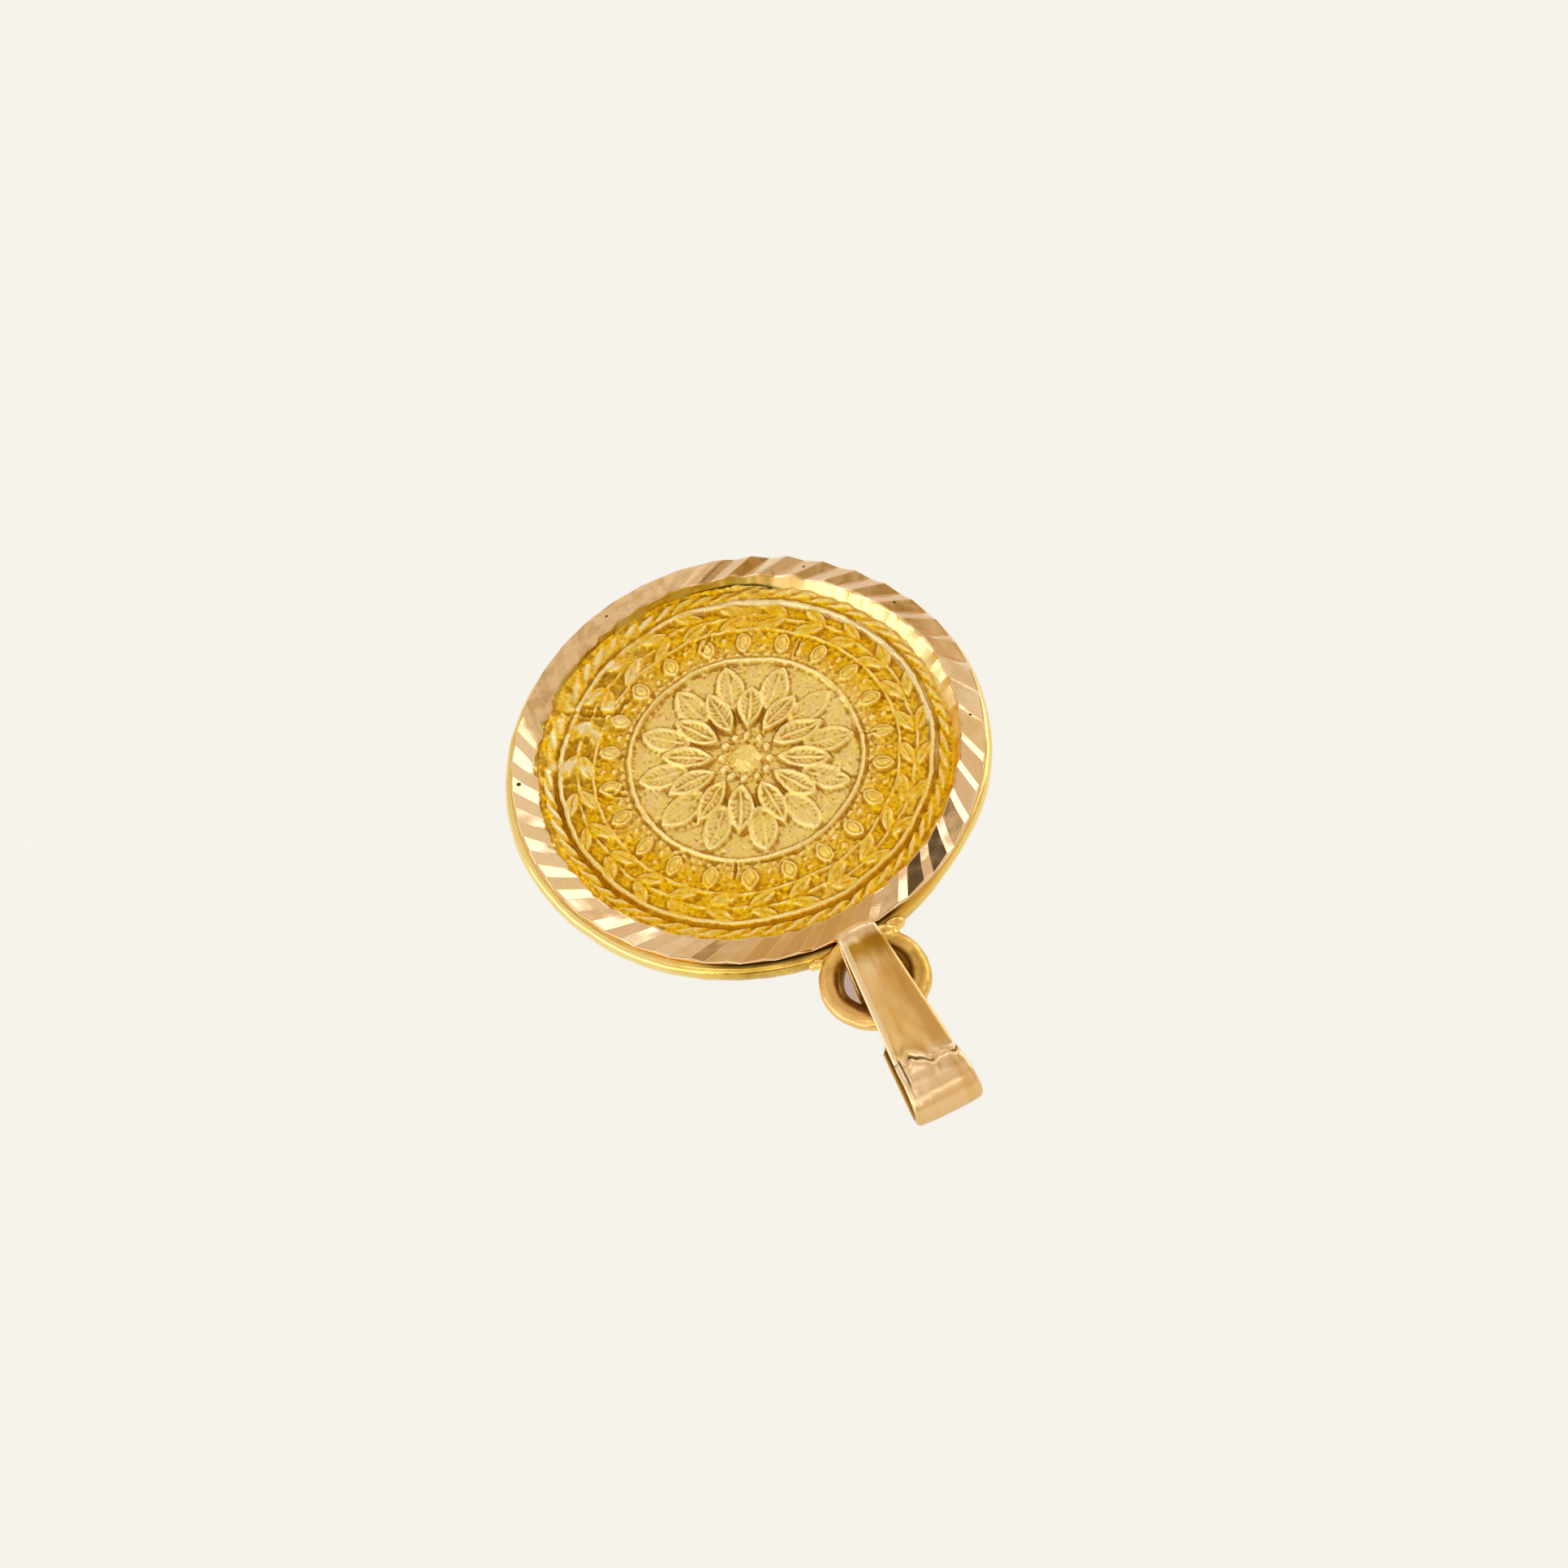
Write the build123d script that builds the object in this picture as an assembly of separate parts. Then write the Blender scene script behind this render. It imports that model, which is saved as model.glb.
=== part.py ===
from build123d import *
import math
import os

# A round medallion pendant in gold. It lies on its back: the back is at Z = 0, the relief faces +Z,
# the medal's axis is the Z axis, and the loop and the bail point to -Y. All sizes are in millimetres.

# Frame: the polished rim band with the cut ring on top. An inset is measured inwards from the rim's widest line.
rim_diameter = 20.0
rim_widest_height = 0.80
rim_top_height = 1.15
rim_top_inset = 0.45
back_edge_inset = 0.55
waist_inset = 0.60
waist_height = 0.06
ring_inset = 0.40
ring_width = 1.00
ring_height = 1.65
ring_slope = 10.5
wall_lean = 0.05

# Slanted cuts round the ring
cut_count = 41
cut_depth = 0.17
cut_slant = 47.0
cut_wide_share = 0.6
cut_stock = 0.15

# Medal and the groove that holds its edge
medal_edge_cover = 0.20
medal_edge_thickness = 0.45
medal_centre_thickness = 0.60
medal_dome_height = 0.30
medal_flange_width = 0.25
medal_back_step = 0.06
groove_floor_height = 0.45
groove_clearance = 0.05
back_lip_hold = 0.40

# Raised relief on the medal: sizes, and heights above the field
boss_radius = 0.62
boss_height = 0.30
boss_side = 0.06
bead_ring_bead = 0.15
inner_petal_width = 0.98
outer_petal_width = 1.10
line_width = 0.14
lozenge_length = 0.82
lozenge_width = 0.62
leaf_length = 1.15
leaf_width = 0.46
leaf_spread = 0.36
leaf_turn = 24.0
border_bead = 0.13
high_relief = 0.20
middle_relief = 0.14
low_relief = 0.10
bead_ring_count = 14
petal_count = 12
lozenge_count = 24
leaf_count = 32
border_count = 60

# Places of the relief, as shares of the distance from the medal's centre to the foot of its dome
relief_places = {
    "bead ring": 0.115,
    "inner petals start": 0.153,
    "inner petals end": 0.418,
    "outer petals start": 0.276,
    "outer petals end": 0.541,
    "inner line": 0.565,
    "lozenges": 0.645,
    "middle line": 0.724,
    "leaves": 0.829,
    "outer line": 0.935,
    "border": 0.967,
}

# Loop soldered to the rim
loop_diameter = 4.52
loop_hole_diameter = 2.52
loop_thickness = 0.72
loop_sink = 0.52
solder_radius = 0.45
solder_sink = 0.03
solder_thickness = 0.50

# Bail: a folded strap with a narrow fold and a wide round end
strap_thickness = 0.32
bail_length = 8.50
fold_radius = 0.72
fold_overhang = 0.02
fold_lift = 1.21
narrow_width = 1.55
wide_width = 2.90
leg_width = 1.46
leg_trim_reach = 1.10
fold_corner = 0.25
wide_end_radius = 1.25
crease_angle = 130.0
crease_rise = 0.03
rise_offset = 0.66
rise_radius = 1.00
strap_clearance = 0.12

# Places that follow from the sizes above
rim_radius = rim_diameter / 2
rim_top_radius = rim_radius - rim_top_inset
waist_radius = rim_radius - waist_inset
ring_outer = rim_radius - ring_inset
ring_inner = ring_outer - ring_width
ring_middle = (ring_outer + ring_inner) / 2
wall_foot = ring_inner - wall_lean
medal_radius = wall_foot + medal_edge_cover
dome_foot = medal_radius - medal_flange_width
dome_radius = (dome_foot**2 + medal_dome_height**2) / (2 * medal_dome_height)
loop_radius = loop_diameter / 2
hole_radius = loop_hole_diameter / 2
loop_centre = rim_radius + loop_radius - loop_sink
half_leg = leg_width / 2
bar_inner = loop_centre + math.sqrt(hole_radius**2 - half_leg**2)
bar_outer = loop_centre + loop_radius
pivot_reach = (bar_outer - bar_inner) / 2
pivot_distance = (bar_outer + bar_inner) / 2
loop_height = strap_thickness + pivot_reach + strap_clearance
fold_end = rim_radius + fold_overhang
fold_centre = (fold_end + fold_radius, loop_height + loop_thickness / 2 + fold_lift)
wide_centre = (fold_end + bail_length - wide_end_radius, wide_end_radius)
bail_side = Plane(origin=(0, 0, 0), x_dir=(0, -1, 0), z_dir=(-1, 0, 0))


def field_height(radius):
    """Height of the medal's plain field at a distance from its centre."""
    edge = groove_floor_height + medal_edge_thickness
    drop = dome_radius - math.sqrt(dome_radius**2 - min(radius, dome_foot) ** 2)
    return edge + medal_dome_height - drop


def turned(outline):
    """A solid of revolution about the Z axis from an outline in the XZ plane."""
    return revolve(Plane.XZ * make_face(outline), Axis.Z)


def medal_blank(extra):
    """The domed disc with a flat flange at its edge, its field raised by an extra height."""
    edge = field_height(dome_foot)
    crown = (0, field_height(0) + extra)
    under_crown = (0, field_height(0) - medal_centre_thickness)
    under_foot = dome_foot - medal_edge_thickness
    back_step = groove_floor_height + medal_back_step
    return turned([
        Line(under_crown, crown),
        TangentArc(crown, (dome_foot, edge + extra), tangent=(1, 0)),
        Polyline((dome_foot, edge + extra), (dome_foot, edge), (medal_radius, edge)) if extra
        else Line((dome_foot, edge), (medal_radius, edge)),
        Polyline(
            (medal_radius, edge),
            (medal_radius, groove_floor_height),
            (under_foot, groove_floor_height),
            (under_foot, back_step),
        ),
        TangentArc(under_crown, (under_foot, back_step), tangent=(1, 0)),
    ])


def around(shape, radius, count, turn=0.0, start=0.0):
    """Copies of a flat shape round the centre, each turned by itself first."""
    step = 360 / count
    return [Rot(0, 0, start + step * i) * Pos(radius, 0) * Rot(0, 0, turn) * shape for i in range(count)]


def leaf_shape(length, width):
    """A pointed oval that lies along X."""
    half = length / 2
    return make_face([
        ThreePointArc((-half, 0), (0, width / 2), (half, 0)),
        ThreePointArc((half, 0), (0, -width / 2), (-half, 0)),
    ])


def place(name):
    """Distance from the medal's centre of a part of the relief."""
    return relief_places[name] * dome_foot


def petals(row, width, offset):
    """A round of petals that point outwards."""
    start, end = place(row + " petals start"), place(row + " petals end")
    return around(leaf_shape(end - start, width), (start + end) / 2, petal_count, start=offset)


def relief_layer(shapes, height):
    """Flat shapes raised to one height above the domed field."""
    root = field_height(medal_radius) - medal_edge_thickness / 4
    prisms = extrude(Pos(0, 0, root) * (Sketch() + shapes), 2 * medal_dome_height + height)
    return prisms & medal_blank(height)


def make_medal():
    """The struck medal: a boss, a rosette, lozenges, a wreath of leaves and a beaded border."""
    lozenge = leaf_shape(lozenge_length, lozenge_width)
    leaf = leaf_shape(leaf_length, leaf_width)
    low = around(Circle(border_bead), place("border"), border_count)
    for name in ("inner line", "middle line", "outer line"):
        low.append(Circle(place(name) + line_width / 2) - Circle(place(name) - line_width / 2))
    low += petals("outer", outer_petal_width, 180 / petal_count)
    middle = around(leaf, place("leaves") + leaf_spread, leaf_count, 90 - leaf_turn)
    middle += around(leaf, place("leaves") - leaf_spread, leaf_count, 90 + leaf_turn)
    middle += around(lozenge, place("lozenges"), lozenge_count)
    high = petals("inner", inner_petal_width, 0)
    high += around(Circle(bead_ring_bead), place("bead ring"), bead_ring_count)
    medal = medal_blank(0)
    for shapes, height in ((low, low_relief), (middle, middle_relief), (high, high_relief)):
        medal += relief_layer(shapes, height)
    return medal + boss()


def boss():
    """The round boss in the middle, rooted half way through the medal."""
    top = (0, field_height(0) + boss_height)
    edge = (boss_radius, field_height(boss_radius) + boss_side)
    foot = field_height(0) - medal_centre_thickness / 2
    return turned([
        TangentArc(top, edge, tangent=(1, 0)),
        Polyline(edge, (boss_radius, foot), (0, foot), top),
    ])


def frame_ring():
    """The rim band, the waist under the cut ring, the ring and the groove for the medal."""
    drop = ring_width * math.tan(math.radians(ring_slope))
    groove_radius = medal_radius + groove_clearance
    groove_floor = groove_floor_height - groove_clearance
    groove_top = groove_floor_height + medal_edge_thickness + groove_clearance
    lip = medal_radius - back_lip_hold
    widest = (rim_radius, rim_widest_height)
    back_edge = (rim_radius - back_edge_inset, 0)
    rim_top = (rim_top_radius, rim_top_height)
    under_ring = rim_top_height + waist_height
    ring = turned([
        Line((lip, 0), back_edge),
        TangentArc(widest, back_edge, tangent=(0, -1)),
        TangentArc(widest, rim_top, tangent=(0, 1)),
        Polyline(
            rim_top,
            (waist_radius, rim_top_height),
            (waist_radius, under_ring),
            (ring_outer, under_ring),
            (ring_outer, ring_height - drop + cut_stock),
            (ring_inner, ring_height + cut_stock),
            (wall_foot, groove_top),
            (groove_radius, groove_top),
            (groove_radius, groove_floor),
            (lip, groove_floor),
            (lip, 0),
        ),
    ])
    return ring - ring_cuts()


def ring_cuts():
    """Slanted V cuts side by side round the ring, with a wide flank and a steeper narrow one."""
    slope = math.radians(ring_slope)
    slant = math.radians(cut_slant)
    pitch = 2 * math.pi * ring_middle / cut_count * math.cos(slant)
    up = Vector(math.sin(slope), 0, math.cos(slope))
    along = Vector(math.cos(slope), 0, -math.sin(slope)) * math.cos(slant) - Vector(0, math.sin(slant), 0)
    across = up.cross(along)
    top = cut_depth + 2 * cut_stock
    wide = pitch * cut_wide_share * top / cut_depth
    narrow = pitch * (1 - cut_wide_share) * top / cut_depth
    length = 2 * ring_width / math.cos(slant)
    middle_height = ring_height - ring_width / 2 * math.tan(slope)
    valley = Vector(ring_middle, 0, middle_height) - up * cut_depth
    plane = Plane(origin=valley - along * (length / 2), x_dir=across, z_dir=along)
    cut = extrude(plane * make_face(Polyline((0, 0), (wide, top), (-narrow, top), close=True)), length)
    return [Rot(0, 0, 360 / cut_count * i) * cut for i in range(cut_count)]


def make_loop():
    """The round loop, with solder that fills the corners between it and the rim."""
    bar_radius = (loop_radius - hole_radius) / 2
    bar = Pos(loop_radius - bar_radius, 0) * Ellipse(bar_radius, loop_thickness / 2)
    loop = Pos(0, -loop_centre, loop_height) * revolve(Plane.XZ * bar, Axis.Z)
    loop -= Cylinder(waist_radius, 4 * ring_height)
    to_rim = rim_radius + solder_radius - solder_sink
    to_loop = loop_radius + solder_radius - solder_sink
    angle = math.acos((to_rim**2 + loop_centre**2 - to_loop**2) / (2 * to_rim * loop_centre))
    side = (to_rim * math.sin(angle), -to_rim * math.cos(angle))
    root = waist_radius - solder_sink
    corner = (root * math.sin(angle), -root * math.cos(angle))
    web = make_face(Polyline((0, -root), corner, side, (0, -loop_centre), close=True))
    web -= Pos(*side) * Circle(solder_radius)
    web -= Pos(0, -loop_centre) * Circle((loop_radius + hole_radius) / 2)
    web += mirror(web, Plane.YZ)
    return loop + extrude(Pos(0, 0, loop_height - solder_thickness / 2) * web, solder_thickness)


def make_frame():
    """Rim, ring and loop, soldered into one piece."""
    return frame_ring() + make_loop()


def touch_point(centre, radius, point, side):
    """Where a line from a point touches a circle, on the chosen side of it."""
    across, up = point[0] - centre[0], point[1] - centre[1]
    distance = math.hypot(across, up)
    angle = math.atan2(up, across) + side * math.acos(radius / distance)
    return (centre[0] + radius * math.cos(angle), centre[1] + radius * math.sin(angle))


def strap_outline(inset):
    """The bail's outline from the side, as distance from the medal's axis and height."""
    fold = fold_radius - inset
    wide = wide_end_radius - inset
    crease_reach = wide_end_radius + crease_rise - inset / 2
    angle = math.radians(crease_angle)
    crease = (
        wide_centre[0] + crease_reach * math.cos(angle),
        wide_centre[1] + crease_reach * math.sin(angle),
    )
    rise = math.atan2(fold_centre[1], fold_centre[0] - loop_centre - rise_offset)
    corner = (loop_centre + rise_offset + inset * math.tan((math.pi - rise) / 2), inset)
    fold_top = touch_point(fold_centre, fold, crease, 1)
    fold_under = touch_point(fold_centre, fold, corner, -1)
    wide_top = touch_point(wide_centre, wide, crease, -1)
    fold_tip = (fold_centre[0] - fold, fold_centre[1])
    wide_tip = (wide_centre[0] + wide, wide_centre[1])
    wide_foot = (wide_centre[0], inset)
    return make_face([
        ThreePointArc(fold_under, fold_tip, fold_top),
        Polyline(fold_top, crease, wide_top),
        ThreePointArc(wide_top, wide_tip, wide_foot),
        FilletPolyline(wide_foot, corner, fold_under, radius=rise_radius - inset),
    ])


def half_width(distance):
    """Half the strap's width at a distance from the medal's axis."""
    share = (distance - fold_end) / bail_length
    return (narrow_width + (wide_width - narrow_width) * share) / 2


def leg_trim():
    """What is cut from one side of the lower leg, so that it swings through the loop."""
    start = pivot_distance - leg_trim_reach
    end = pivot_distance + leg_trim_reach
    outside = wide_width
    plan = make_face([
        ThreePointArc((half_width(start), -start), (half_leg, -pivot_distance), (half_width(end), -end)),
        Polyline((half_width(end), -end), (outside, -end), (outside, -start), (half_width(start), -start)),
    ])
    low = -wide_end_radius
    under = make_face(Polyline(fold_centre, wide_centre, (wide_centre[0], low), (fold_centre[0], low), close=True))
    return extrude(Pos(0, 0, low) * plan, 2 * fold_centre[1]) & extrude(bail_side * under, outside, both=True)


def make_bail():
    """The closed strap, tapered to its fold."""
    tip = fold_end + bail_length
    strap = extrude(bail_side * (strap_outline(0) - strap_outline(strap_thickness)), wide_width, both=True)
    start, end = half_width(fold_end), half_width(tip)
    taper = make_face(Polyline((-start, -fold_end), (start, -fold_end), (end, -tip), (-end, -tip), close=True))
    taper = fillet(taper.vertices().sort_by(Axis.Y)[-2:], fold_corner)
    bail = strap & extrude(taper, 3 * fold_centre[1])
    trim = leg_trim()
    return bail - trim - mirror(trim, Plane.YZ)


pieces = {"medal": make_medal(), "frame": make_frame(), "bail": make_bail()}
os.makedirs("parts", exist_ok=True)
for name, piece in pieces.items():
    export_step(piece, f"parts/{name}.step")
    print(name, "volume", round(piece.volume, 3), "solids", len(piece.solids()))
print("bail pivot", (0, round(-pivot_distance, 4), round(loop_height, 4)))
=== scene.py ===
import math

import bpy
import numpy as np
from mathutils import Matrix, Vector


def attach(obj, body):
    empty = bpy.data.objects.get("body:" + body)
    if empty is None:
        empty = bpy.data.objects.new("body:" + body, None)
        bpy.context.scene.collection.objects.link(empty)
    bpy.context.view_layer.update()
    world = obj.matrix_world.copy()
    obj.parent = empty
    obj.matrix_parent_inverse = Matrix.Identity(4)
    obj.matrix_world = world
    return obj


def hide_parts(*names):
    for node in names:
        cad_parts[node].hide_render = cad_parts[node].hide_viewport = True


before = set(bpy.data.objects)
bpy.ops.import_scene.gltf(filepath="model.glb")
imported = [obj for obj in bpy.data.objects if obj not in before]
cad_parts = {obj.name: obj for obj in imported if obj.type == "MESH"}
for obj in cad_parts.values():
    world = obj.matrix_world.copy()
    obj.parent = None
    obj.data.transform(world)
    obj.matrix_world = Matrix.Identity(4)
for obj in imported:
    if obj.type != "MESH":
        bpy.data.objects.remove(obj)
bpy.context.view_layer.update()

# Lengths are in millimetres while a shape is worked out, and in metres once it is a mesh.
mm = 0.001
fullTurn = 2 * math.pi


def ease(low, high, value):
    share = np.clip((value - low) / (high - low), 0, 1)
    return share * share * (3 - 2 * share)


def ripple(points, size, seed, waves=14):
    # soft waves in space, about as long as size, with a spread of about 1
    random = np.random.default_rng(seed)
    directions = random.normal(size=(waves, 3))
    lengths = np.linalg.norm(directions, axis=1) * size * random.uniform(0.6, 1.7, waves)
    directions /= lengths[:, None]
    phases = random.uniform(0, fullTurn, waves)
    return np.sin(points @ directions.T * fullTurn + phases).sum(1) / math.sqrt(waves / 2)


def hump(value, middle, reach):
    # 1 at the middle, falling to 0 beyond reach on both sides
    return np.exp(-(((value - middle) / reach) ** 2))


def aroundAngle(degrees, middle, reach, power=2):
    # the same near one ring angle, with a flatter top where power is higher
    return np.exp(-(np.abs(((degrees - middle + 180) % 360 - 180) / reach) ** power))


def wireMath(operation, turned=False):
    # an operator of the class below, which adds one Math node
    def calculate(wire, other=0.0):
        first, second = (other, wire) if turned else (wire, other)
        return wire.desk.node("ShaderNodeMath", {"operation": operation}, {0: first, 1: second})

    return calculate


class Wire:
    # a node socket that Python can calculate with
    def __init__(self, desk, socket):
        self.desk = desk
        self.socket = socket

    __add__ = __radd__ = wireMath("ADD")
    __mul__ = __rmul__ = wireMath("MULTIPLY")
    __sub__, __rsub__ = wireMath("SUBTRACT"), wireMath("SUBTRACT", True)
    __abs__ = wireMath("ABSOLUTE")

    def between(self, low, high):
        # 0 at low and 1 at high, eased; low may be above high
        settings = {"interpolation_type": "SMOOTHSTEP"}
        return self.desk.node("ShaderNodeMapRange", settings, {0: self, 1: low, 2: high})


class Desk:
    # the place where one node tree is put together
    def __init__(self, tree):
        self.tree = tree
        self.tree.nodes.clear()

    def node(self, kind, settings=None, sockets=None, output=0):
        made = self.tree.nodes.new(kind)
        for name, value in (settings or {}).items():
            setattr(made, name, value)
        for name, value in (sockets or {}).items():
            if isinstance(value, Wire):
                self.tree.links.new(value.socket, made.inputs[name])
            else:
                made.inputs[name].default_value = value
        return Wire(self, made.outputs[output]) if made.outputs else None

    def blend(self, share, first, second):
        # a colour between two, both given as three numbers or a wire
        first, second = [c if isinstance(c, Wire) else (*c, 1.0) for c in (first, second)]
        return self.node("ShaderNodeMix", {"data_type": "RGBA"}, {0: share, 6: first, 7: second}, 2)

    def layered(self, look, base, layers):
        # the look's colours, each laid over those before it through its mask
        colour = look[base]
        for share, name in layers:
            colour = self.blend(share, colour, look[name])
        return colour

    def place(self):
        return self.node("ShaderNodeTexCoord", output=3)

    def part(self, axis):
        # one coordinate of the place, in millimetres
        return self.node("ShaderNodeSeparateXYZ", {}, {0: self.place()}, "XYZ".index(axis)) * (1 / mm)

    def cloud(self, size, detail=3.0, roughness=0.55, distortion=0.0):
        # noise with lumps of about this size in millimetres, or three sizes along the axes
        sizes = size if isinstance(size, tuple) else (size,) * 3
        sockets = {0: self.place(), 1: [1 / (s * mm) for s in sizes]}
        place = self.node("ShaderNodeVectorMath", {"operation": "MULTIPLY"}, sockets)
        sockets = {"Vector": place, "Scale": 1.0, "Detail": detail, "Roughness": roughness}
        return self.node("ShaderNodeTexNoise", {}, {**sockets, "Distortion": distortion})

    def mark(self, name):
        return self.node("ShaderNodeAttribute", {"attribute_name": name}, {}, 2)


def newFinish(name):
    material = bpy.data.materials.new(name)
    material.use_nodes = True
    return material, Desk(material.node_tree)


def closeFinish(desk, colour, roughness, bumps):
    # the shader itself; bumps are pairs of a height wire and its depth in millimetres
    normal = None
    for height, depth in bumps:
        sockets = {"Height": height, "Distance": depth * mm, "Strength": 1.0}
        if normal:
            sockets["Normal"] = normal
        normal = desk.node("ShaderNodeBump", {}, sockets)
    sockets = {"Base Color": colour, "Roughness": roughness, "Metallic": 1.0, "Normal": normal}
    shader = desk.node("ShaderNodeBsdfPrincipled", {}, sockets)
    desk.node("ShaderNodeOutputMaterial", {}, {"Surface": shader})


def wrapMesh(name, rows, caps=None, marks=None):
    # joins closed rows of points into a solid, which is a ring of rows or has a centre point at each end
    count, around = rows.shape[:2]
    points = rows.reshape(-1, 3)
    index = np.arange(count * around).reshape(count, around)
    first, second = (index[:-1], index[1:]) if caps is not None else (index, np.roll(index, -1, 0))
    quads = np.stack([first, np.roll(first, -1, 1), np.roll(second, -1, 1), second], -1).reshape(-1, 4)
    triangles = np.zeros((0, 3), int)
    if caps is not None:
        start, end, top = index[0], index[-1], np.full(around, len(points))
        points = np.vstack([points, caps])
        fanTop = np.stack([top, np.roll(start, -1), start], -1)
        fanBottom = np.stack([top + 1, end, np.roll(end, -1)], -1)
        triangles = np.vstack([fanTop, fanBottom])
    a, b, c, d = (points[quads[:, i]] for i in range(4))
    volume = (a * np.cross(b, c)).sum() + (a * np.cross(c, d)).sum()
    if volume < 0:
        quads, triangles = quads[:, ::-1], triangles[:, ::-1]
    mesh = bpy.data.meshes.new(name)
    mesh.from_pydata((points * mm).tolist(), [], quads.tolist() + triangles.tolist())
    for label, values in (marks or {}).items():
        values = np.asarray(values, np.float32).ravel()
        values = np.concatenate([values, np.full(len(points) - len(values), values[0], np.float32)])
        mesh.attributes.new(label, "FLOAT", "POINT").data.foreach_set("value", values)
    mesh.shade_smooth()
    piece = bpy.data.objects.new(name, mesh)
    bpy.context.scene.collection.objects.link(piece)
    return piece


def settle(piece, body, node, finish):
    piece.data.materials.clear()
    piece.data.materials.append(finish)
    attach(piece, body)
    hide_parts(node)
    triangles = sum(len(p.vertices) - 2 for p in piece.data.polygons)
    print("made", piece.name, triangles, "triangles")


def turnedRow(radius, height, angles):
    # one closed row of points round the axis
    return np.stack([radius * np.cos(angles), radius * np.sin(angles), height + 0 * angles], -1)


medal = {
    "edgeRadius": 8.75,
    "edgeHeight": 0.90,
    "edgeBevel": 0.03,
    "domeFoot": 8.50,
    "domeRadius": 120.567,
    "domeHeight": 0.30,
    "seat": 0.45,
    "backStep": 0.06,
    "backFoot": 8.05,
    "centreThickness": 0.60,
    "seam": 4.90,
    "seamOverlap": 0.02,
    "reliefEnd": 8.40,
    "reliefFoot": 8.52,
    # how far the rim turns up, how much more at one ring angle, and that angle with its reach
    "rolledEdge": 0.22,
    "rolledMore": 0.26,
    "rolledPlace": (148, 50),
    "mapSide": 1300,
    "mapReach": 8.80,
    "castSoftness": 0.032,
    "waviness": 0.034,
    "groundGrain": 0.0140,
    "groundLumps": 0.0210,
    "centreRows": 168,
    "centrePoints": 540,
    "borderRows": 98,
    "borderPoints": 880,
}

relief = {
    "boss": {"radius": 0.66, "height": 0.30, "side": 0.08},
    # seeds on the boss, in the spiral of a sunflower
    "seeds": {"count": 20, "size": 0.10, "rise": 0.06, "gap": 0.105, "turn": 2.39996},
    # two rows of petals: inner and outer end, width, height, hollow share, offset in degrees
    "petals": [(1.32, 3.50, 1.02, 0.30, 0.60, 0.0), (2.35, 4.50, 1.16, 0.21, 0.65, 15.0)],
    "petal": {"count": 12, "ribWidth": 0.055, "rib": 0.45, "veinGap": 0.235, "veinSlant": 0.9},
    # raised lines: radius, width, height
    "lines": [(4.76, 0.30, 0.22), (6.26, 0.24, 0.17), (7.60, 0.32, 0.24)],
    # rings of beads: radius, size, height, count, offset in degrees
    "beads": [
        (1.02, 0.18, 0.22, 12, 0.0),
        (5.38, 0.13, 0.13, 22, 180 / 22),
        (5.86, 0.13, 0.13, 22, 180 / 22),
    ],
    # milled bands beside the lines: inner and outer radius, height, count
    "milled": [(4.98, 5.13, 0.10, 84), (6.02, 6.15, 0.08, 110), (6.38, 6.48, 0.07, 120)],
    "lozenges": {"radius": 5.62, "length": 1.00, "width": 0.66, "height": 0.25, "count": 22},
    "leaves": {"radius": 6.93, "spread": 0.34, "length": 1.26, "width": 0.56, "height": 0.26, "count": 26},
    "leaf": {"turn": 24.0, "fold": 0.45, "foldWidth": 0.035, "veinGap": 0.16, "veinSlant": 1.1},
    "stem": {"half": 0.08, "height": 0.13, "swing": 0.06},
    "rope": {"radius": 8.05, "half": 0.23, "height": 0.20, "count": 60, "lean": 3.0},
}

# places where the relief is rubbed away: x, y, reach, share
wornPlaces = [
    (-4.7, 5.5, 1.5, 0.88),
    (-6.6, 3.6, 0.9, 0.65),
    (-1.6, 7.2, 1.2, 0.50),
    (1.2, -0.8, 0.8, 0.35),
    (5.1, -4.6, 1.2, 0.50),
    (3.6, 6.2, 1.2, 0.45),
    (-3.2, -5.2, 1.0, 0.35),
    (4.6, 0.6, 1.0, 0.40),
]

# gouges: start x and y, end x and y, half width, depth
gouges = [
    (2.9, -2.2, 3.5, -3.1, 0.10, 0.11),
    (-4.9, 0.9, -5.6, 1.5, 0.09, 0.10),
    (3.7, 3.4, 4.6, 4.2, 0.06, 0.09),
    (-2.4, -4.0, -2.9, -4.9, 0.07, 0.10),
    (-5.6, 6.0, -3.4, 4.6, 0.12, 0.07),
    (-3.9, 4.6, -2.7, 5.3, 0.10, 0.09),
    (0.4, 5.4, 1.5, 6.3, 0.07, 0.08),
    (4.4, -1.2, 5.4, -1.6, 0.06, 0.09),
]

mapLine = np.linspace(-medal["mapReach"], medal["mapReach"], medal["mapSide"])
mapX, mapY = np.meshgrid(mapLine, mapLine)
mapWaves = np.fft.fftfreq(medal["mapSide"], mapLine[1] - mapLine[0])
mapFall = mapWaves[:, None] ** 2 + mapWaves[None, : medal["mapSide"] // 2 + 1] ** 2


def blurred(field, size):
    spectrum = np.fft.rfft2(field) * np.exp(-2 * (math.pi * size) ** 2 * mapFall)
    return np.fft.irfft2(spectrum, field.shape)


def grain(size, seed):
    field = blurred(np.random.default_rng(seed).normal(size=mapX.shape), size)
    return field / field.std()


def fieldHeight(radius):
    ball = medal["domeRadius"]
    drop = ball - np.sqrt(ball**2 - np.minimum(radius, medal["domeFoot"]) ** 2)
    return medal["edgeHeight"] + medal["domeHeight"] - drop


def spokes(angle, count, offset=0.0):
    # angle from the nearest of a number of evenly spaced spokes
    step = fullTurn / count
    return (angle - math.radians(offset) + step / 2) % step - step / 2


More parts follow.
